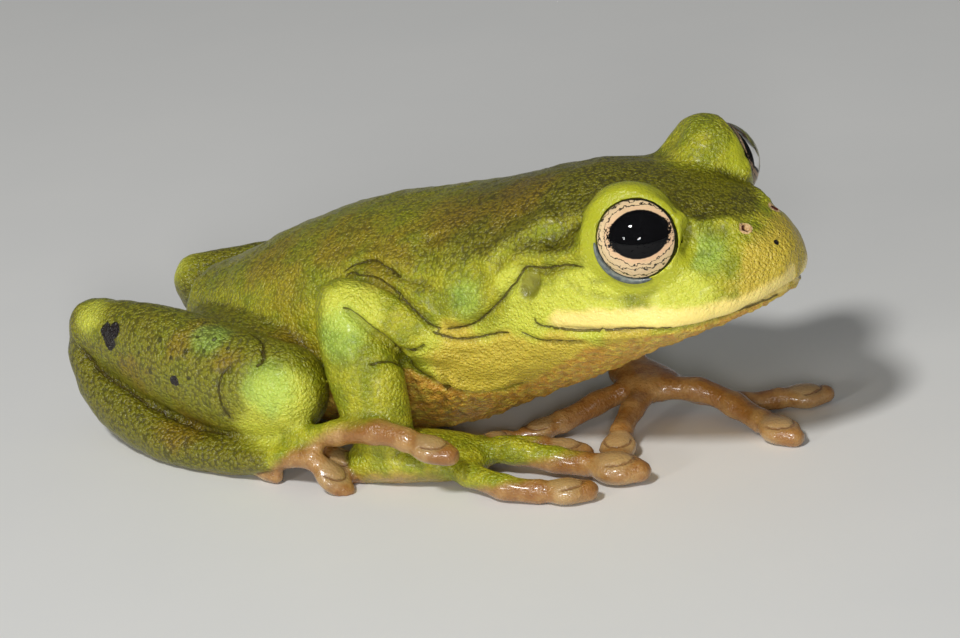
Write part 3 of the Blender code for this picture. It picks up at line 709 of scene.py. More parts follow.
def on_drum(spots, side):
    """How far from the middle of the eardrum each place is, in shares of its radius, and how high it lies."""
    gap = spots - np.array(mirrored(EARDRUM, side))
    high = side * -gap[:, 1]
    return np.hypot(gap[:, 0] / 0.82, gap[:, 2] - 0.25 * gap[:, 0]) / EARDRUM_RADIUS, high


def shape_eardrum(clay, side):
    """A flat disc, a little sunk, inside a low rim."""
    far, high = on_drum(clay.spots, side)
    here = np.abs(high) < 2.0
    level = high[here & (far < 0.8)].mean()
    inside = (1.0 - fade(far, 0.8, 1.05)) * here
    clay.spots[:, 1] -= side * (inside * (level - 0.12 - high) + 0.16 * hump(far - 1.25, 0.22) * here)
    clay.look()


def shape_head(clay):
    """Works the lids, the mouth, the folds of the head and the eardrums."""
    shape_lids(clay)
    clay.fold(MOUTH_LINE, *MOUTH_FOLD)
    clay.look()
    for course, width, depth, swell, spread in HEAD_FOLDS.values():
        clay.fold(course, width, depth, swell, spread)
        clay.fold(left_side(course), width, depth, -swell, spread)
    clay.look()
    for place, radius, height in SWELLINGS:
        for side in (1, -1):
            clay.push(mirrored(place, side), radius, height)
    clay.look()
    fit_lids(clay, "left")
    clay.look()
    for side in (1, -1):
        shape_eardrum(clay, side)


def pad_grooves():
    """The course of the groove round the front and the sides of each pad."""
    for word in SIDES:
        for _, path, _, pad in digits_of(word):
            end = Vector(path[-1]) + UP * (0.4 * pad)
            ahead = (end - Vector(path[-2])).normalized()
            aside = UP.cross(ahead).normalized()
            bends = [math.radians(30 * k) for k in range(-4, 5)]
            yield [
                tuple(end + ahead * (0.85 * pad * math.cos(bend)) + aside * (0.75 * pad * math.sin(bend)))
                for bend in bends]


def shape_body(clay):
    """Presses the folds of the body and the limbs, and the grooves of the pads."""
    for fold in BODY_FOLDS.values():
        clay.fold(*fold)
    clay.look()
    for course in pad_grooves():
        clay.fold(course, *PAD_FOLD)
    clay.look()


def drop_crumbs(item):
    """Takes away what the cuts have left loose, and keeps the largest part."""
    choose(item)
    edit(bpy.ops.mesh.separate, type="LOOSE")
    *crumbs, kept = sorted(bpy.context.selected_objects, key=lambda one: len(one.data.polygons))
    for crumb in crumbs:
        bpy.data.objects.remove(crumb)
    return kept


def make_skin():
    """One skin over all the forms, worked as clay, then cut open for the eyes and the nostrils."""
    forms = skin_forms()
    clouds = {name: places(form.data) for name, form in forms.items()}
    choose(*forms.values())
    bpy.ops.object.join()
    skin = named(bpy.context.object, "skin")
    edit(bpy.ops.mesh.normals_make_consistent, inside=False)
    apply(skin, "REMESH", mode="VOXEL", voxel_size=SKIN_CELL)
    clay = Clay(skin)
    soften(clay)
    shape_head(clay)
    shape_body(clay)
    clay.steady(1)
    roughen(clay, nearest_part(clay.spots, clouds))
    clay.spots[:, 2] = np.maximum(clay.spots[:, 2], 0.0)
    clay.look()
    hollows = [(centre, EYE_RADIUS + SOCKET_GAP) for centre in EYES.values()]
    for place in NOSTRILS:
        nostril = clay.nearest(place)
        hollows.append((clay.spots[nostril] - 0.05 * clay.out[nostril], NOSTRIL_RADIUS))
    faces = len(skin.data.polygons)  # four-sided ones, each of two triangles
    apply(skin, "DECIMATE", ratio=SKIN_TRIANGLES / (2 * faces))
    for centre, radius in hollows:
        hollow = begin(
            bpy.ops.mesh.primitive_uv_sphere_add, segments=32, ring_count=20, location=centre,
            scale=(radius,) * 3)
        apply(skin, "BOOLEAN", operation="DIFFERENCE", object=hollow, solver="EXACT")
        bpy.data.objects.remove(hollow)
    skin = named(drop_crumbs(skin), "skin")
    paint_skin(skin, clouds)
    return skin


# ---- what each place of the skin is like
def nearest_part(spots, clouds):
    """For each point of the skin, the name of the part whose form lies nearest to it."""
    tree = KDTree(sum(len(cloud) for cloud in clouds.values()))
    owner = []
    for name, cloud in clouds.items():
        for place in cloud:
            tree.insert(place, len(owner))
            owner.append(name)
    tree.balance()
    return np.array([owner[tree.find(spot)[1]] for spot in spots])


def belongs(part, *starts):
    return np.any([np.char.startswith(part, one) for one in starts], axis=0)


def belly_of(spots, out, part):
    """1 on the coarse skin of the belly and the throat."""
    x, edge = np.array(BELLY_EDGE)[::-1].T
    edge = np.interp(-spots[:, 0], -x, edge)
    return fade(edge - spots[:, 2], -0.3, 0.7) * fade(-out[:, 2], -0.6, 0.0) * (part == "body")


def roughen(clay, part):
    """Gives the belly its round grains and the rest of the skin a slight unevenness."""
    belly = clay.blur(belly_of(clay.spots, clay.out, part), 4)
    lift = np.zeros(len(clay.spots))
    for which in np.flatnonzero(belly > 0.02):
        nearest = noise.voronoi(clay.spots[which] / GRAIN_SIZE)[0][0]
        lift[which] = 0.24 * belly[which] * (1.0 - 1.6 * nearest)
    uneven = np.array([
        noise.noise(spot * 0.55) + 0.6 * noise.noise(spot * 1.3) for spot in map(Vector, clay.spots)])
    lift += uneven * np.where(belongs(part, "finger", "toe", "lid"), 0.03, 0.09)
    clay.spots += clay.out * lift[:, None]
    clay.look()


def paint_digits(spots, out, part):
    """How pink each place is, and how much it belongs to a pad."""
    pink, pads = np.zeros(len(spots)), np.zeros(len(spots))
    for word in SIDES:
        for name, path, _, pad in digits_of(word):
            mine = part == name
            pads = np.where(mine, patch(spots, path[-1], 0.6 * pad, 1.3 * pad), pads)
            share = far_from(spots, path[0]) / math.dist(path[0], path[-1])
            turned_down = 0.25 * (1.0 - out[:, 2]) - 0.15
            pink = np.where(mine, fade(share + turned_down, *PINK_FROM[name.split("_")[0], word]), pink)
    pink = np.where(part == "hand_left", 0.9, pink)
    pink = np.where(part == "forearm_left", 0.8 * fade(spots[:, 0], -15.5, -11.5), pink)
    return np.where(part == "hand_right", 0.55 * fade(-out[:, 2], -0.6, 0.3), pink), pads


def around(spots, patches):
    """1 within any of some round patches: each a place and a radius."""
    return np.max([patch(spots, place, 0.35 * radius, 1.15 * radius) for place, radius in patches], axis=0)


def paint_olive_and_top_shade(spots, part, body, top, belly, bright_and_highlit):
    """Where the skin is olive: on top of the body, and on the hind legs; on the skin that faces up it is partly
    painted shade.
    """
    snout = fade(spots[:, 0] + 0.5 * np.abs(spots[:, 1]), 5.6, 7.4)
    foot, leg = belongs(part, "foot"), belongs(part, "shank", "thigh")
    olive_and_top_shade = top * np.where(body, 1.0 - snout, np.where(leg | foot, 0.6, 0.1))
    olive_and_top_shade = np.maximum(olive_and_top_shade, 0.85 * foot + 0.65 * leg)
    olive_and_top_shade = np.maximum(olive_and_top_shade, 0.35 * body * fade(-spots[:, 0], 12.0, 22.0) * (1.0 - belly))
    olive_and_top_shade *= 1.0 - 0.5 * body * fade(-spots[:, 0], 14.0, 24.0)
    olive_and_top_shade *= 1.0 - 0.7 * bright_and_highlit
    for centre in ORBITS.values():
        olive_and_top_shade *= 1.0 - 0.75 * patch(spots, centre, 4.2, 6.0) * fade(spots[:, 2], 23.6, 24.8)
    return olive_and_top_shade


def paint_eardrums(spots):
    """Where the eardrums are, and where their rims."""
    drums, rims = [], []
    for side in (1, -1):
        far, high = on_drum(spots, side)
        drums.append((1.0 - fade(far, 0.95, 1.05)) * (np.abs(high) < 2.0))
        rims.append(hump(far - 1.08, 0.16) * (np.abs(high) < 2.0))
    return np.maximum(*drums), np.maximum(*rims)


def paint_lids(spots):
    lids = np.zeros(len(spots))
    for word, centre in EYES.items():
        ahead = (spots - centre) @ np.array(Vector(LID_AXES[word]).normalized())
        full, none = LID_BANDS[word]
        edge = patch(spots, centre, EYE_RADIUS + full, EYE_RADIUS + none)
        lids = np.maximum(lids, edge * fade(ahead, -2.2, -0.6))
    return lids


def sharp(fold):
    """Whether a fold is narrow and deep enough to carry a painted shade line at its bottom."""
    return fold[1] < 0.6 and fold[2] > 0.15


def shaded_crease_lines():
    """The course of every painted shade line, and its depth."""
    lines = [(MOUTH[:-1], 0.4)] + [(fold[0], fold[2]) for fold in HEAD_FOLDS.values() if sharp(fold)]
    lines += [(left_side(course), depth) for course, depth in lines]
    lines += [(fold[0], fold[2]) for fold in BODY_FOLDS.values() if sharp(fold)]
    return lines + [(course, PAD_FOLD[1]) for course in pad_grooves()]


def paint_crease_shade(clay):
    """How deep in a crease each place lies, and how far to the left or right of its bottom, for the painted
    shade along the creases.
    """
    count = len(clay.spots)
    crease, side, close = np.zeros(count), np.full(count, 0.5), np.full(count, CREASE_REACH)
    for course, depth in shaded_crease_lines():
        which, far, left, along = clay.measure(course, CREASE_REACH)
        line = hump(far, 0.3) * taper(along, 0.0, 0.1) * min(depth / 0.35, 1.0)
        crease[which] = np.maximum(crease[which], line)
        first = far < close[which]
        close[which[first]] = far[first]
        side[which[first]] = 0.5 + 0.5 * left[first] / CREASE_REACH
    return crease, side


def paint_skin(skin, clouds):
    """Writes down, for each point of the skin, how much of each colouring it has."""
    clay = Clay(skin)
    spots, out = clay.spots, clay.out
    part = nearest_part(spots, clouds)
    body = belongs(part, "body", "orbit", "lid")
    pink, pads = paint_digits(spots, out, part)
    belly = belly_of(spots, out, part)
    under = fade(-out[:, 2], 0.0, 0.8) * belongs(part, "thigh", "shank", "upper_arm", "forearm", "foot")
    lips = np.zeros(len(spots))
    which, far, left, along = clay.measure(MOUTH_LINE, 2.9)
    lips[which] = fade(left, -0.15, 0.1) * (1.0 - fade(far, 0.8, 2.7)) * taper(along, 0.03, 0.16)
    top = fade(out[:, 2], 0.30, 0.85)
    # partly painted highlight: the lighter patches, weaker on the skin that faces up
    bright_and_highlit = around(spots, BRIGHT_AND_HIGHLIT) * (1.0 - 0.3 * top)
    olive_and_top_shade = paint_olive_and_top_shade(spots, part, body, top, belly, bright_and_highlit)
    drum, rim = paint_eardrums(spots)
    lids = paint_lids(spots)
    crease, side = paint_crease_shade(clay)
    cavity = clay.blur(((clay.middles() - spots) * out).sum(1) / SKIN_CELL, 2)
    tip = body * fade(spots[:, 0], 4.5, 9.0) * fade(out[:, 0], 0.1, 0.8)
    for name, values, passes in (
        ("pink", pink, 14),
        ("pads", pads, 6),
        ("belly", np.maximum(belly, 0.35 * under), 8),
        ("lips", lips, 3),
        ("olive_and_top_shade", olive_and_top_shade * (1.0 - lids), 8),
        ("lids", lids, 5),
        ("bright_and_highlit", bright_and_highlit, 10),
        ("rust", around(spots, RUST), 8),
        # painted shade: the skin darkens where it is hollow and in the groove round each eardrum
        ("hollow", np.maximum(fade(cavity, 0.006, 0.075), 0.8 * rim), 0),
        ("crease", crease, 0),
        ("crease_side", side, 0),
        ("drum", drum, 0),
        ("gold", np.maximum(tip, around(spots, GOLD)), 12),
        ("cool_and_sheen", around(spots, COOL_AND_SHEEN), 8),
    ):
        kept = skin.data.attributes.new(name, "FLOAT", "POINT")
        kept.data.foreach_set("value", np.clip(clay.blur(values, passes), 0.0, 1.0).astype(np.float32))


# ---- the eyes
def eye_directions(word, axes=EYE_AXES):
    """Forward, up and out of an eye, or of its lids."""
    out = Vector(axes[word]).normalized()
    level = Vector(EYE_LEVELS[word])
    forward = (level - out * level.dot(out)).normalized()
    up = out.cross(forward) * (1 if word == "right" else -1)
    return forward, up, out


def in_eye(word, spots, axes=EYE_AXES):
    """How far forward, up and out of the middle of the eye each place is."""
    return (spots - np.array(EYES[word])) @ np.array(eye_directions(word, axes)).T


def eye_ball(word, name, radius):
    """A ball with its pole on the axis of the eye."""
    turn = UP.rotation_difference(eye_directions(word)[2]).to_euler()
    ball = begin(
        bpy.ops.mesh.primitive_uv_sphere_add, segments=128, ring_count=90, radius=radius, location=EYES[word],
        rotation=turn)
    return named(ball, f"{name}_{word}")


def make_iris(word):
    """The dark inner ball: its front is sunk to a low crown with the iris on it, the pupil lies deeper."""
    radius = EYE_RADIUS - BALL_INSET
    iris = eye_ball(word, "iris", radius)
    place = in_eye(word, places(iris.data))
    edge = radius * math.sin(math.radians(IRIS_ANGLE))
    level = radius * math.cos(math.radians(IRIS_ANGLE))
    across = np.hypot(place[:, 0], place[:, 1])
    crown = level - 0.06 + IRIS_CROWN * (1.0 - (across / edge) ** 2)
    away = np.hypot(*((place[:, :2] - PUPIL_PLACE) / PUPIL_SIZE).T)
    crown -= PUPIL_DEPTH * (1.0 - fade(away, 0.78, 0.98))
    place[:, 2] = np.where(place[:, 2] > level - 1e-6, crown, place[:, 2])
    set_places(iris.data, place @ np.array(eye_directions(word)) + np.array(EYES[word]))
    kept = iris.data.attributes.new("eye_place", "FLOAT_VECTOR", "POINT")
    kept.data.foreach_set("vector", place.astype(np.float32).ravel())
    return iris


def make_cornea(word):
    """The clear wet front of the eye."""
    cornea = eye_ball(word, "cornea", EYE_RADIUS)
    cornea.visible_shadow = False
    return cornea


def make_membrane(word):
    """The grey inner lid, folded away along the lower back edge of the eye: a soft roll with thin ends."""
    forward, up, out = eye_directions(word)
    ring, ahead = MEMBRANE_RING
    rows = []
    for share, turn in zip(np.linspace(0, 1, 40), np.radians(np.linspace(*MEMBRANE, 40))):
        place = Vector(EYES[word]) + (forward * math.cos(turn) + up * math.sin(turn)) * ring + out * ahead
        half = MEMBRANE_THICKNESS * (0.25 + 0.75 * math.sin(math.pi * share) ** 0.6)
        rows.append((*place, half, half))
    return named(tube(rows, 16, out, (DOME, DOME)), f"inner_lid_{word}")


# ---- recipes for the finishes
def tint(red, green, blue):
    """A colour given 0 to 255, in the light's own scale."""
    return (*[((v / 255 + 0.055) / 1.055) ** 2.4 if v > 10 else v / 3294.6 for v in (red, green, blue)], 1.0)


def sum_of(kind, turned=False):
    """A step of a sum, which writes itself down as a node."""
    def work(one, other=0.0):
        pair = (other, one) if turned else (one, other)
        return one.recipe.add("Math", dict(enumerate(pair)), operation=kind)
    return work


class Value:
    """What a node puts out. Sums are written with it as with numbers, and a | b is the greater of the two."""

    def __init__(self, recipe, socket):
        self.recipe, self.socket = recipe, socket

    __add__ = __radd__ = sum_of("ADD")
    __mul__ = sum_of("MULTIPLY")
    __sub__, __rsub__ = sum_of("SUBTRACT"), sum_of("SUBTRACT", turned=True)
    __truediv__, __rtruediv__ = sum_of("DIVIDE"), sum_of("DIVIDE", turned=True)
    __pow__, __or__, __abs__ = sum_of("POWER"), sum_of("MAXIMUM"), sum_of("ABSOLUTE")
    root, fraction = sum_of("SQRT"), sum_of("FRACT")

    def between(self, low, high, start=0.0, end=1.0):
        """The value's way from low to high, smooth at both ends."""
        inputs = dict(enumerate((self, low, high, start, end)))
        return self.recipe.add("MapRange", inputs, interpolation_type="SMOOTHSTEP")


class Recipe:
    """Writes down the nodes of a finish, or of an effect that several finishes share."""

    def __init__(self, tree):
        self.tree = tree

    def add(self, kind, inputs, out=0, **settings):
        made = self.tree.nodes.new("ShaderNode" + kind)
        for word, value in settings.items():
            setattr(made, word, value)
        self.set(made, inputs)
        return Value(self, made.outputs[out])

    def set(self, made, inputs):
        for socket, value in inputs.items():
            if isinstance(value, Value):
                self.tree.links.new(value.socket, made.inputs[socket])
            else:
                made.inputs[socket].default_value = value

    def outputs(self, made):
        return {socket.name: Value(self, socket) for socket in made.outputs}

    def group(self, tree, **inputs):
        made = self.tree.nodes.new("ShaderNodeGroup")
        made.node_tree = tree
        self.set(made, inputs)
        return self.outputs(made)

    def layers(self, colour, *layers):
        """A colour under layers: each has its share, its own colour and, where it isn't plain, its blend."""
        for share, other, *blend in layers:
            colour = self.add("Mix", {0: share, 6: colour, 7: other}, 2,
                              data_type="RGBA", blend_type=blend[0] if blend else "MIX")
        return colour

    def lumps(self, place, scale, detail, roughness=0.5, out=0):
        """Soft noise, 0 to 1."""
        inputs = {"Vector": place, "Scale": scale, "Detail": detail, "Roughness": roughness}
        return self.add("TexNoise", inputs, out)

    def clouds(self, place, size, detail, roughness=0.5):
        """Soft noise whose lumps are about this many millimetres across."""
        return self.lumps(place, 1.0 / (size * MM), detail, roughness)

    def shift(self, operation, one, other, out=0):
        return self.add("VectorMath", {0: one, 1: other}, out, operation=operation)

    def bump(self, height, depth, strength=1.0):
        return self.add("Bump", {"Strength": strength, "Distance": depth, "Height": height})

    def kept(self, name, out=2):
        return self.add("Attribute", {}, out, attribute_name=name)

    def place(self):
        return self.add("TexCoord", {}, 3)


def new_group(name, inputs, outputs):
    """An empty shared effect: its inputs are a place (None) or a number, and its outputs are numbers."""
    tree = bpy.data.node_groups.new(name, "ShaderNodeTree")
    for word, value in inputs.items():
        kind = "NodeSocketVector" if value is None else "NodeSocketFloat"
        socket = tree.interface.new_socket(word, in_out="INPUT", socket_type=kind)
        if value is not None:
            socket.default_value = value
    for word in outputs:
        tree.interface.new_socket(word, in_out="OUTPUT", socket_type="NodeSocketFloat")
    recipe = Recipe(tree)
    return recipe, recipe.outputs(tree.nodes.new("NodeGroupInput")), tree.nodes.new("NodeGroupOutput")


def grain_effect():
    """The grains of the skin: how high they stand, and the creases between them."""
    recipe, given, end = new_group("skin grain", {"Place": None, "Size": 0.4}, ("Height", "Creases"))
    place, size = given["Place"], given["Size"]
    scale = (1.0 / MM) / size
    stir = recipe.shift("SUBTRACT", recipe.lumps(place, scale, 1.0, out=1), (0.5, 0.5, 0.5))
    stir = recipe.add("VectorMath", {0: stir, 3: size * (0.7 * MM)}, operation="SCALE")
    bent = recipe.shift("ADD", place, stir)
    near = recipe.add("TexVoronoi", {"Vector": bent, "Scale": scale}, feature="F1")
    aside = abs(recipe.lumps(place, scale, 2.0, 0.55) - 0.5).between(0.0, 0.14)
    height = near.between(0.75, 0.1) * 0.7 + aside * 0.3
    recipe.set(end, {"Height": height, "Creases": near.between(0.46, 0.72)})
    return recipe.tree


def spot_effect():
    """A small ink spot with a ragged edge."""
    recipe, given, end = new_group("ink spot", {"Place": None, "Middle": None, "Radius": 0.5}, ("Mask",))
    far = recipe.shift("DISTANCE", given["Place"], given["Middle"], 1)
    share = far / MM / given["Radius"] + recipe.lumps(given["Place"], SPOT_RAGGED, 2.0) * 0.7
    recipe.set(end, {"Mask": share.between(1.42, 1.25)})
    return recipe.tree


def finish(name, work, *effects):
    """A finish under this name: the work says what goes into its shader."""
    made = bpy.data.materials.new(name)
    made.use_nodes = True
    recipe = Recipe(made.node_tree)
    recipe.set(made.node_tree.nodes["Principled BSDF"], work(recipe, *effects))
    return made


GREEN, YELLOW_GREEN, LIGHT_GREEN = tint(146, 152, 26), tint(186, 182, 38), tint(210, 212, 70)
OLIVE, DARK_OLIVE, GRAIN_SHADE = tint(114, 108, 12), tint(48, 44, 4), tint(112, 104, 48)
LID_GREEN, LIP_CREAM, COOL_GREEN = tint(178, 180, 38), tint(255, 230, 132), tint(150, 206, 96)
BELLY_TAN, BELLY_GOLD, GOLDEN = tint(214, 160, 62), tint(226, 198, 78), tint(214, 186, 66)
SALMON, SALMON_PALE, SALMON_DARK = tint(152, 102, 46), tint(184, 142, 84), tint(112, 62, 32)
RUST_BROWN, INK, DRUM_OLIVE = tint(158, 104, 26), tint(20, 7, 5), tint(142, 140, 38)
CREASE_SHADE, NOSTRIL_RIM, NOSTRIL_SHADE = tint(70, 58, 10), tint(222, 184, 130), tint(84, 30, 18)
PAD_PALE = tint(190, 162, 112)
IRIS_CREAM, IRIS_WARM, IRIS_SHADE = tint(202, 178, 138), tint(204, 168, 132), tint(168, 146, 112)
IRIS_LINE, PUPIL_BLACK = tint(22, 16, 10), tint(2, 2, 3)
INNER_LID_DARK, INNER_LID_PALE = tint(62, 72, 76), tint(112, 120, 110)
FLOOR_GREY, FLOOR_PALE = tint(232, 232, 229), tint(238, 237, 233)

# how deep the relief of the finishes goes and how far light goes into the skin, metres
SKIN_RELIEF, WET_RELIEF, TEAR_RELIEF = 0.00018, 0.00004, 0.00001
LIGHT_DEPTH = 0.0006
TEAR_IOR = 1.28
SPOT_RAGGED = 2200.0

# place and radius, mm
INK_SPOTS = (
    ((-49.8, -14.0, 10.2), 0.78), ((-48.8, -14.4, 10.5), 0.74), ((-49.2, -14.8, 9.5), 0.74),
    ((-40.8, -17.4, 8.1), 0.5), ((8.69, -1.23, 20.17), 0.24),
)
# small pits on the shank, each painted with shade
SHADED_PORES = (
    (-45.1, -16, 9.6), (-43.9, -16.2, 10.2), (-42.8, -16, 11), (-41.2, -16.8, 9.9), (-39.7, -16.8, 10.6),
    (-39.1, -15.7, 11.5), (-37.9, -16.6, 10.7), (-41.6, -17.1, 8.4), (-39.1, -17.5, 8.6), (-43.7, -16.8, 8.3),
    (-37.4, -15.7, 11.5), (-35.8, -16.1, 11), (-41.4, -15.3, 11.8), (-39.4, -14.2, 12.1),
)
SHADED_PORE_SIZE, NOSTRIL_RIM_SIZE, NOSTRIL_SHADE_SIZE = 0.26, 0.60, 0.36


def skin_look(recipe, grain, spot):
    """Green to olive and rust, cream at the lips, tan below and pink on the digits, with fine wet grains,
    painted shade in the hollows, creases and pores, and painted highlight on the lighter patches.
    """
    place = recipe.place()
    mottle, fleck, fine = [
        recipe.clouds(place, *lumps) for lumps in ((2.2, 4.0, 0.6), (0.8, 3.0, 0.65), (0.2, 2.0, 0.6))]
    small, large = [recipe.group(grain, Place=place, Size=size) for size in (0.32, 1.2)]
    pink, belly, lips, olive_and_top_shade, lids, bright_and_highlit, rust = map(
        recipe.kept, ("pink", "belly", "lips", "olive_and_top_shade", "lids", "bright_and_highlit", "rust"))
    hollow, drum, gold, cool_and_sheen, pads, crease, side = map(
        recipe.kept, ("hollow", "drum", "gold", "cool_and_sheen", "pads", "crease", "crease_side"))
    beside = abs(side - 0.5) * (2 * CREASE_REACH)
    # the thin painted shade line at the bottom of each crease, also pressed into the relief
    line = beside.between(0.11, 0.04) * crease.between(0.12, 0.5)

    def spread(mask, share, low=0.25, high=0.75):
        """A mask whose edge is broken up by the mottling."""
        return (mask + (mottle - 0.5) * share).between(low, high)

    def marked(marks):
        """Where any of some small marks lies: each a place in the frog's millimetres and a radius."""
        return reduce(Value.__or__, [
            recipe.group(spot, Place=place, Middle=origin() + Vector(middle) * MM, Radius=radius)["Mask"]
            for middle, radius in marks])

    smooth = pink | lips | (lids | drum)
    coarse = 1.0 - smooth * 0.8
    # how strongly the creases between the grains darken: partly darker pigment, partly painted shade
    dull = (coarse - (bright_and_highlit | belly | (gold | lips)) * 0.95) * olive_and_top_shade.between(-0.8, 1.0)
    tan = recipe.layers(BELLY_TAN, (fleck.between(0.4, 0.65), BELLY_GOLD))
    salmon = recipe.layers(
        SALMON,
        (mottle.between(0.35, 0.7), SALMON_PALE),
        (fleck.between(0.55, 0.8) * 0.6, SALMON_DARK),
        (spread(pads, 0.6) * 0.6, PAD_PALE),
    )
    # the colour of the painted shade in the creases: brown, salmon on the digits
    depth = recipe.layers(CREASE_SHADE, (pink, SALMON_DARK))
    colour = recipe.layers(
        GREEN,
        (mottle.between(0.35, 0.65), YELLOW_GREEN),
        # lighter green, partly painted highlight
        (spread(bright_and_highlit, 0.7), LIGHT_GREEN),
        # olive pigment, partly painted shade on the skin that faces up
        (spread(olive_and_top_shade, 0.7, 0.1, 0.9) * 0.9, OLIVE),
        (spread(rust, 1.8, 0.1, 1.1) * 0.30, RUST_BROWN),
        # cooler green, partly painted sheen
        (spread(cool_and_sheen, 1.2, 0.1, 1.1) * 0.4, COOL_GREEN),
        (spread(gold, 0.8) * 0.85, GOLDEN),
        (drum, DRUM_OLIVE),
        (spread(belly, 0.4), tan),
        (spread(lids, 0.2), LID_GREEN),
        (spread(lips, 0.3), LIP_CREAM),
        (spread(pink, 0.5), salmon),
        # painted shade and darker pigment in the creases between the grains
        (small["Creases"] * (dull * 0.7), GRAIN_SHADE, "MULTIPLY"),
        # painted shade in the hollows and round the eardrums
        (hollow * 0.32, DARK_OLIVE, "MULTIPLY"),
        # painted shade along the creases
        (crease * 0.2, depth),
        (line * 0.8, depth),
        # painted shade in the pores
        (marked([(one, SHADED_PORE_SIZE) for one in SHADED_PORES]) * 0.75, DARK_OLIVE),
        (marked([(one, NOSTRIL_RIM_SIZE) for one in NOSTRILS]), NOSTRIL_RIM),
        # painted shade in the nostril's hole, dark red
        (marked([(one, NOSTRIL_SHADE_SIZE) for one in NOSTRILS]), NOSTRIL_SHADE),
        (marked(INK_SPOTS), INK),
    )
    height = small["Height"] * (coarse * 0.7) + large["Height"] * (coarse * 0.35) + fine * 0.45 - line * 0.7
    return {
        "Base Color": colour,
        "Roughness": (smooth + fleck * 0.3).between(0.0, 1.1, 0.29, 0.24),
        "Coat Weight": (pink + fine * 0.3).between(0.0, 1.2, 0.05, 0.6),
        "Coat Roughness": 0.14,
        "Subsurface Weight": 0.12,
        "Subsurface Radius": (1.0, 0.55, 0.2),
        "Subsurface Scale": LIGHT_DEPTH,
        "Specular IOR Level": 0.5,
        "Normal": recipe.bump(height, SKIN_RELIEF),
    }


def away_from_middle(x, y):
    return (abs(x) ** 2.0 + abs(y) ** 2.0).root()


def iris_look(recipe):
    """Cream, with thin broken dark lines that follow the pupil, and a black pupil with ragged ends."""
    where = recipe.kept("eye_place", 1)
    forward, up = [recipe.add("SeparateXYZ", {0: where}, k) for k in range(2)]
    x, y = [(way - middle) / size for way, middle, size in zip((forward, up), PUPIL_PLACE, PUPIL_SIZE)]
    away = away_from_middle(x, y)
    wavy, fine, patches = [
        recipe.lumps(where, *lumps) for lumps in ((1.5, 3.0, 0.6), (6.0, 3.0, 0.6), (1.6, 1.0))]
    ends = abs(x).between(0.72, 1.15)
    torn = (fine - 0.5) * (0.06 + ends * 0.75)
    pupil = (away + torn - ends * 0.10).between(1.0, 0.965)
    lines = abs((away * 4.4 + wavy * 2.4).fraction() - 0.5).between(0.13, 0.06)
    lines = lines * patches.between(0.27, 0.33) * away.between(1.04, 1.12)
    rim = (away_from_middle(forward - 0.09, up - 0.06) + wavy * 0.08).between(3.05, 3.10)
    colour = recipe.layers(
        IRIS_CREAM,
        (away.between(1.3, 1.02), IRIS_WARM),
        (fine.between(0.45, 0.75) * 0.35, IRIS_SHADE),
        # painted shade of the upper lid over the top of the iris
        (up.between(0.6, 2.6, 0.0, 0.55), IRIS_SHADE),
        (lines, IRIS_LINE),
        (pupil | rim, PUPIL_BLACK),
    )
    return {
        "Base Color": colour, "Roughness": 0.9, "Specular IOR Level": 0.05,
        "Normal": recipe.bump(fine, WET_RELIEF, 0.4)}


def cornea_look(recipe):
    """Clear and wet, with a faint unevenness of the film of tears."""
    film = recipe.clouds(recipe.place(), 1.6, 2.0)
    return {
        "Base Color": (1.0, 1.0, 1.0, 1.0), "Roughness": 0.0, "IOR": TEAR_IOR, "Transmission Weight": 1.0,
        "Normal": recipe.bump(film, TEAR_RELIEF, 0.05)}


def inner_lid_look(recipe, grain):
    place = recipe.place()
    cloudy = recipe.clouds(place, 0.5, 3.0).between(0.35, 0.65)
    height = recipe.group(grain, Place=place, Size=0.3)["Height"]
    return {
        "Base Color": recipe.layers(INNER_LID_DARK, (cloudy, INNER_LID_PALE)), "Roughness": 0.35,
        "Coat Weight": 0.4, "Coat Roughness": 0.1, "Subsurface Weight": 0.15,
        "Subsurface Radius": (1.0, 0.6, 0.4), "Subsurface Scale": LIGHT_DEPTH,
        "Normal": recipe.bump(height, WET_RELIEF, 0.3)}


def floor_look(recipe):
    shade = recipe.lumps(recipe.place(), 60.0, 4.0)
    return {"Base Color": recipe.layers(FLOOR_GREY, (shade, FLOOR_PALE)), "Roughness": 0.7}


# ---- set into the frame
def origin():
    """Where the frog's own origin lies in the frame."""
    low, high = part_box("eye_right")
    return (low + high) / 2 - Vector(EYES["right"]) * MM


def set_in_frame(item, look):
    """Gives a piece its finish, and sets it from the frog's own millimetres into the frame."""
    item.data.shade_smooth()
    item.data.materials.clear()
    item.data.materials.append(look)
    item.data.transform(Matrix.Translation(origin()) @ Matrix.Scale(MM, 4))
    set_places(item.data, np.clip(places(item.data), *CAD_BOX))
    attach(item, "root")
    return item


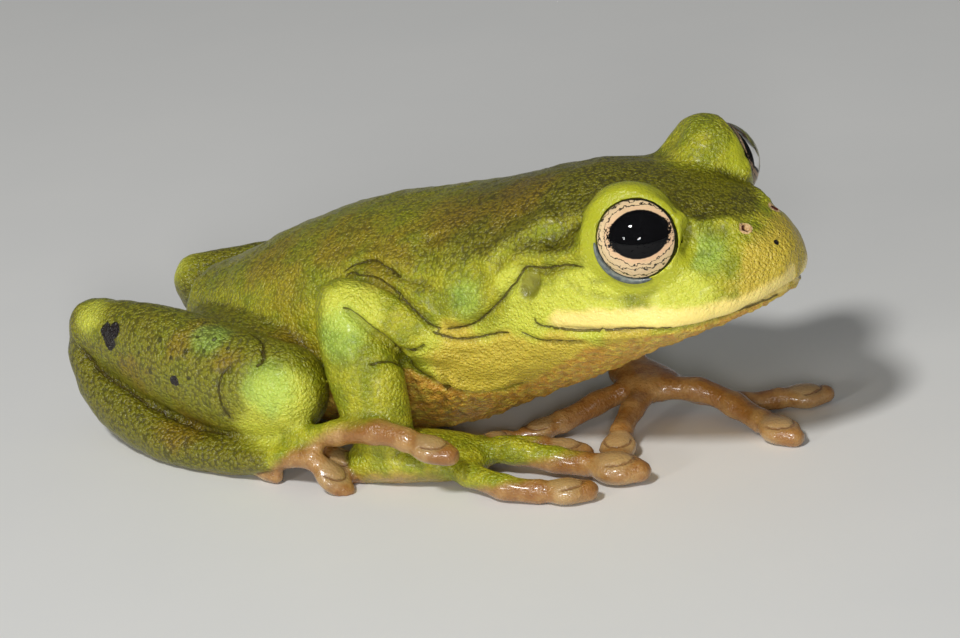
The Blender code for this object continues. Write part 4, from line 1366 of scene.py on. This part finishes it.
def put_in(name, data, stand):
    """A camera or a lamp, stood in the scene."""
    holder = bpy.data.objects.new(name, data)
    bpy.context.scene.collection.objects.link(holder)
    holder.matrix_world = stand
    return holder


def set_camera():
    data = bpy.data.cameras.new("camera")
    data.lens, data.sensor_width = CAMERA_LENS, 36.0
    data.clip_start, data.clip_end = 0.01, 50.0
    back = (Vector(CAMERA_PLACE) - Vector(CAMERA_AIM)).normalized()
    level = UP.cross(back).normalized()
    right = Matrix.Rotation(math.radians(CAMERA_ROLL), 3, back) @ level
    turn = Matrix((right, back.cross(right), back)).transposed().to_4x4()
    place = Matrix.Translation(origin() + Vector(CAMERA_PLACE) * MM)
    bpy.context.scene.camera = put_in("camera", data, place @ turn)


def set_floor_and_lamps():
    floor = begin(bpy.ops.mesh.primitive_plane_add, size=FLOOR_SIZE, location=(0, 0, -FLOOR_DROP))
    floor.name = "floor"
    floor.data.materials.append(finish("pale floor", floor_look))
    for name, (spot, power, size) in LAMPS.items():
        lamp = bpy.data.lights.new(name, "AREA")
        lamp.shape, lamp.energy, lamp.size = "DISK", power, size
        aim = (Vector(LAMP_AIM) - Vector(spot)).to_track_quat("-Z", "Y")
        put_in(name, lamp, Matrix.Translation(spot) @ aim.to_matrix().to_4x4())
    world = bpy.data.worlds.new("studio")
    bpy.context.scene.world = world
    world.use_nodes = True
    sky = world.node_tree.nodes["Background"]
    sky.inputs["Color"].default_value = SKY_COLOUR
    sky.inputs["Strength"].default_value = SKY_STRENGTH
    bpy.context.scene.view_settings.view_transform = "Standard"


def main():
    grain, spot = grain_effect(), spot_effect()
    skin = set_in_frame(make_skin(), finish("frog skin", skin_look, grain, spot))
    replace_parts(skin, *[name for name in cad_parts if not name.startswith("eye_")])
    iris, cornea = finish("iris", iris_look), finish("clear cornea", cornea_look)
    inner_lid = finish("inner lid", inner_lid_look, grain)
    for word in EYES:
        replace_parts(set_in_frame(make_iris(word), iris), f"eye_{word}")
        set_in_frame(make_cornea(word), cornea)
        set_in_frame(make_membrane(word), inner_lid)
    set_camera()
    set_floor_and_lamps()


main()
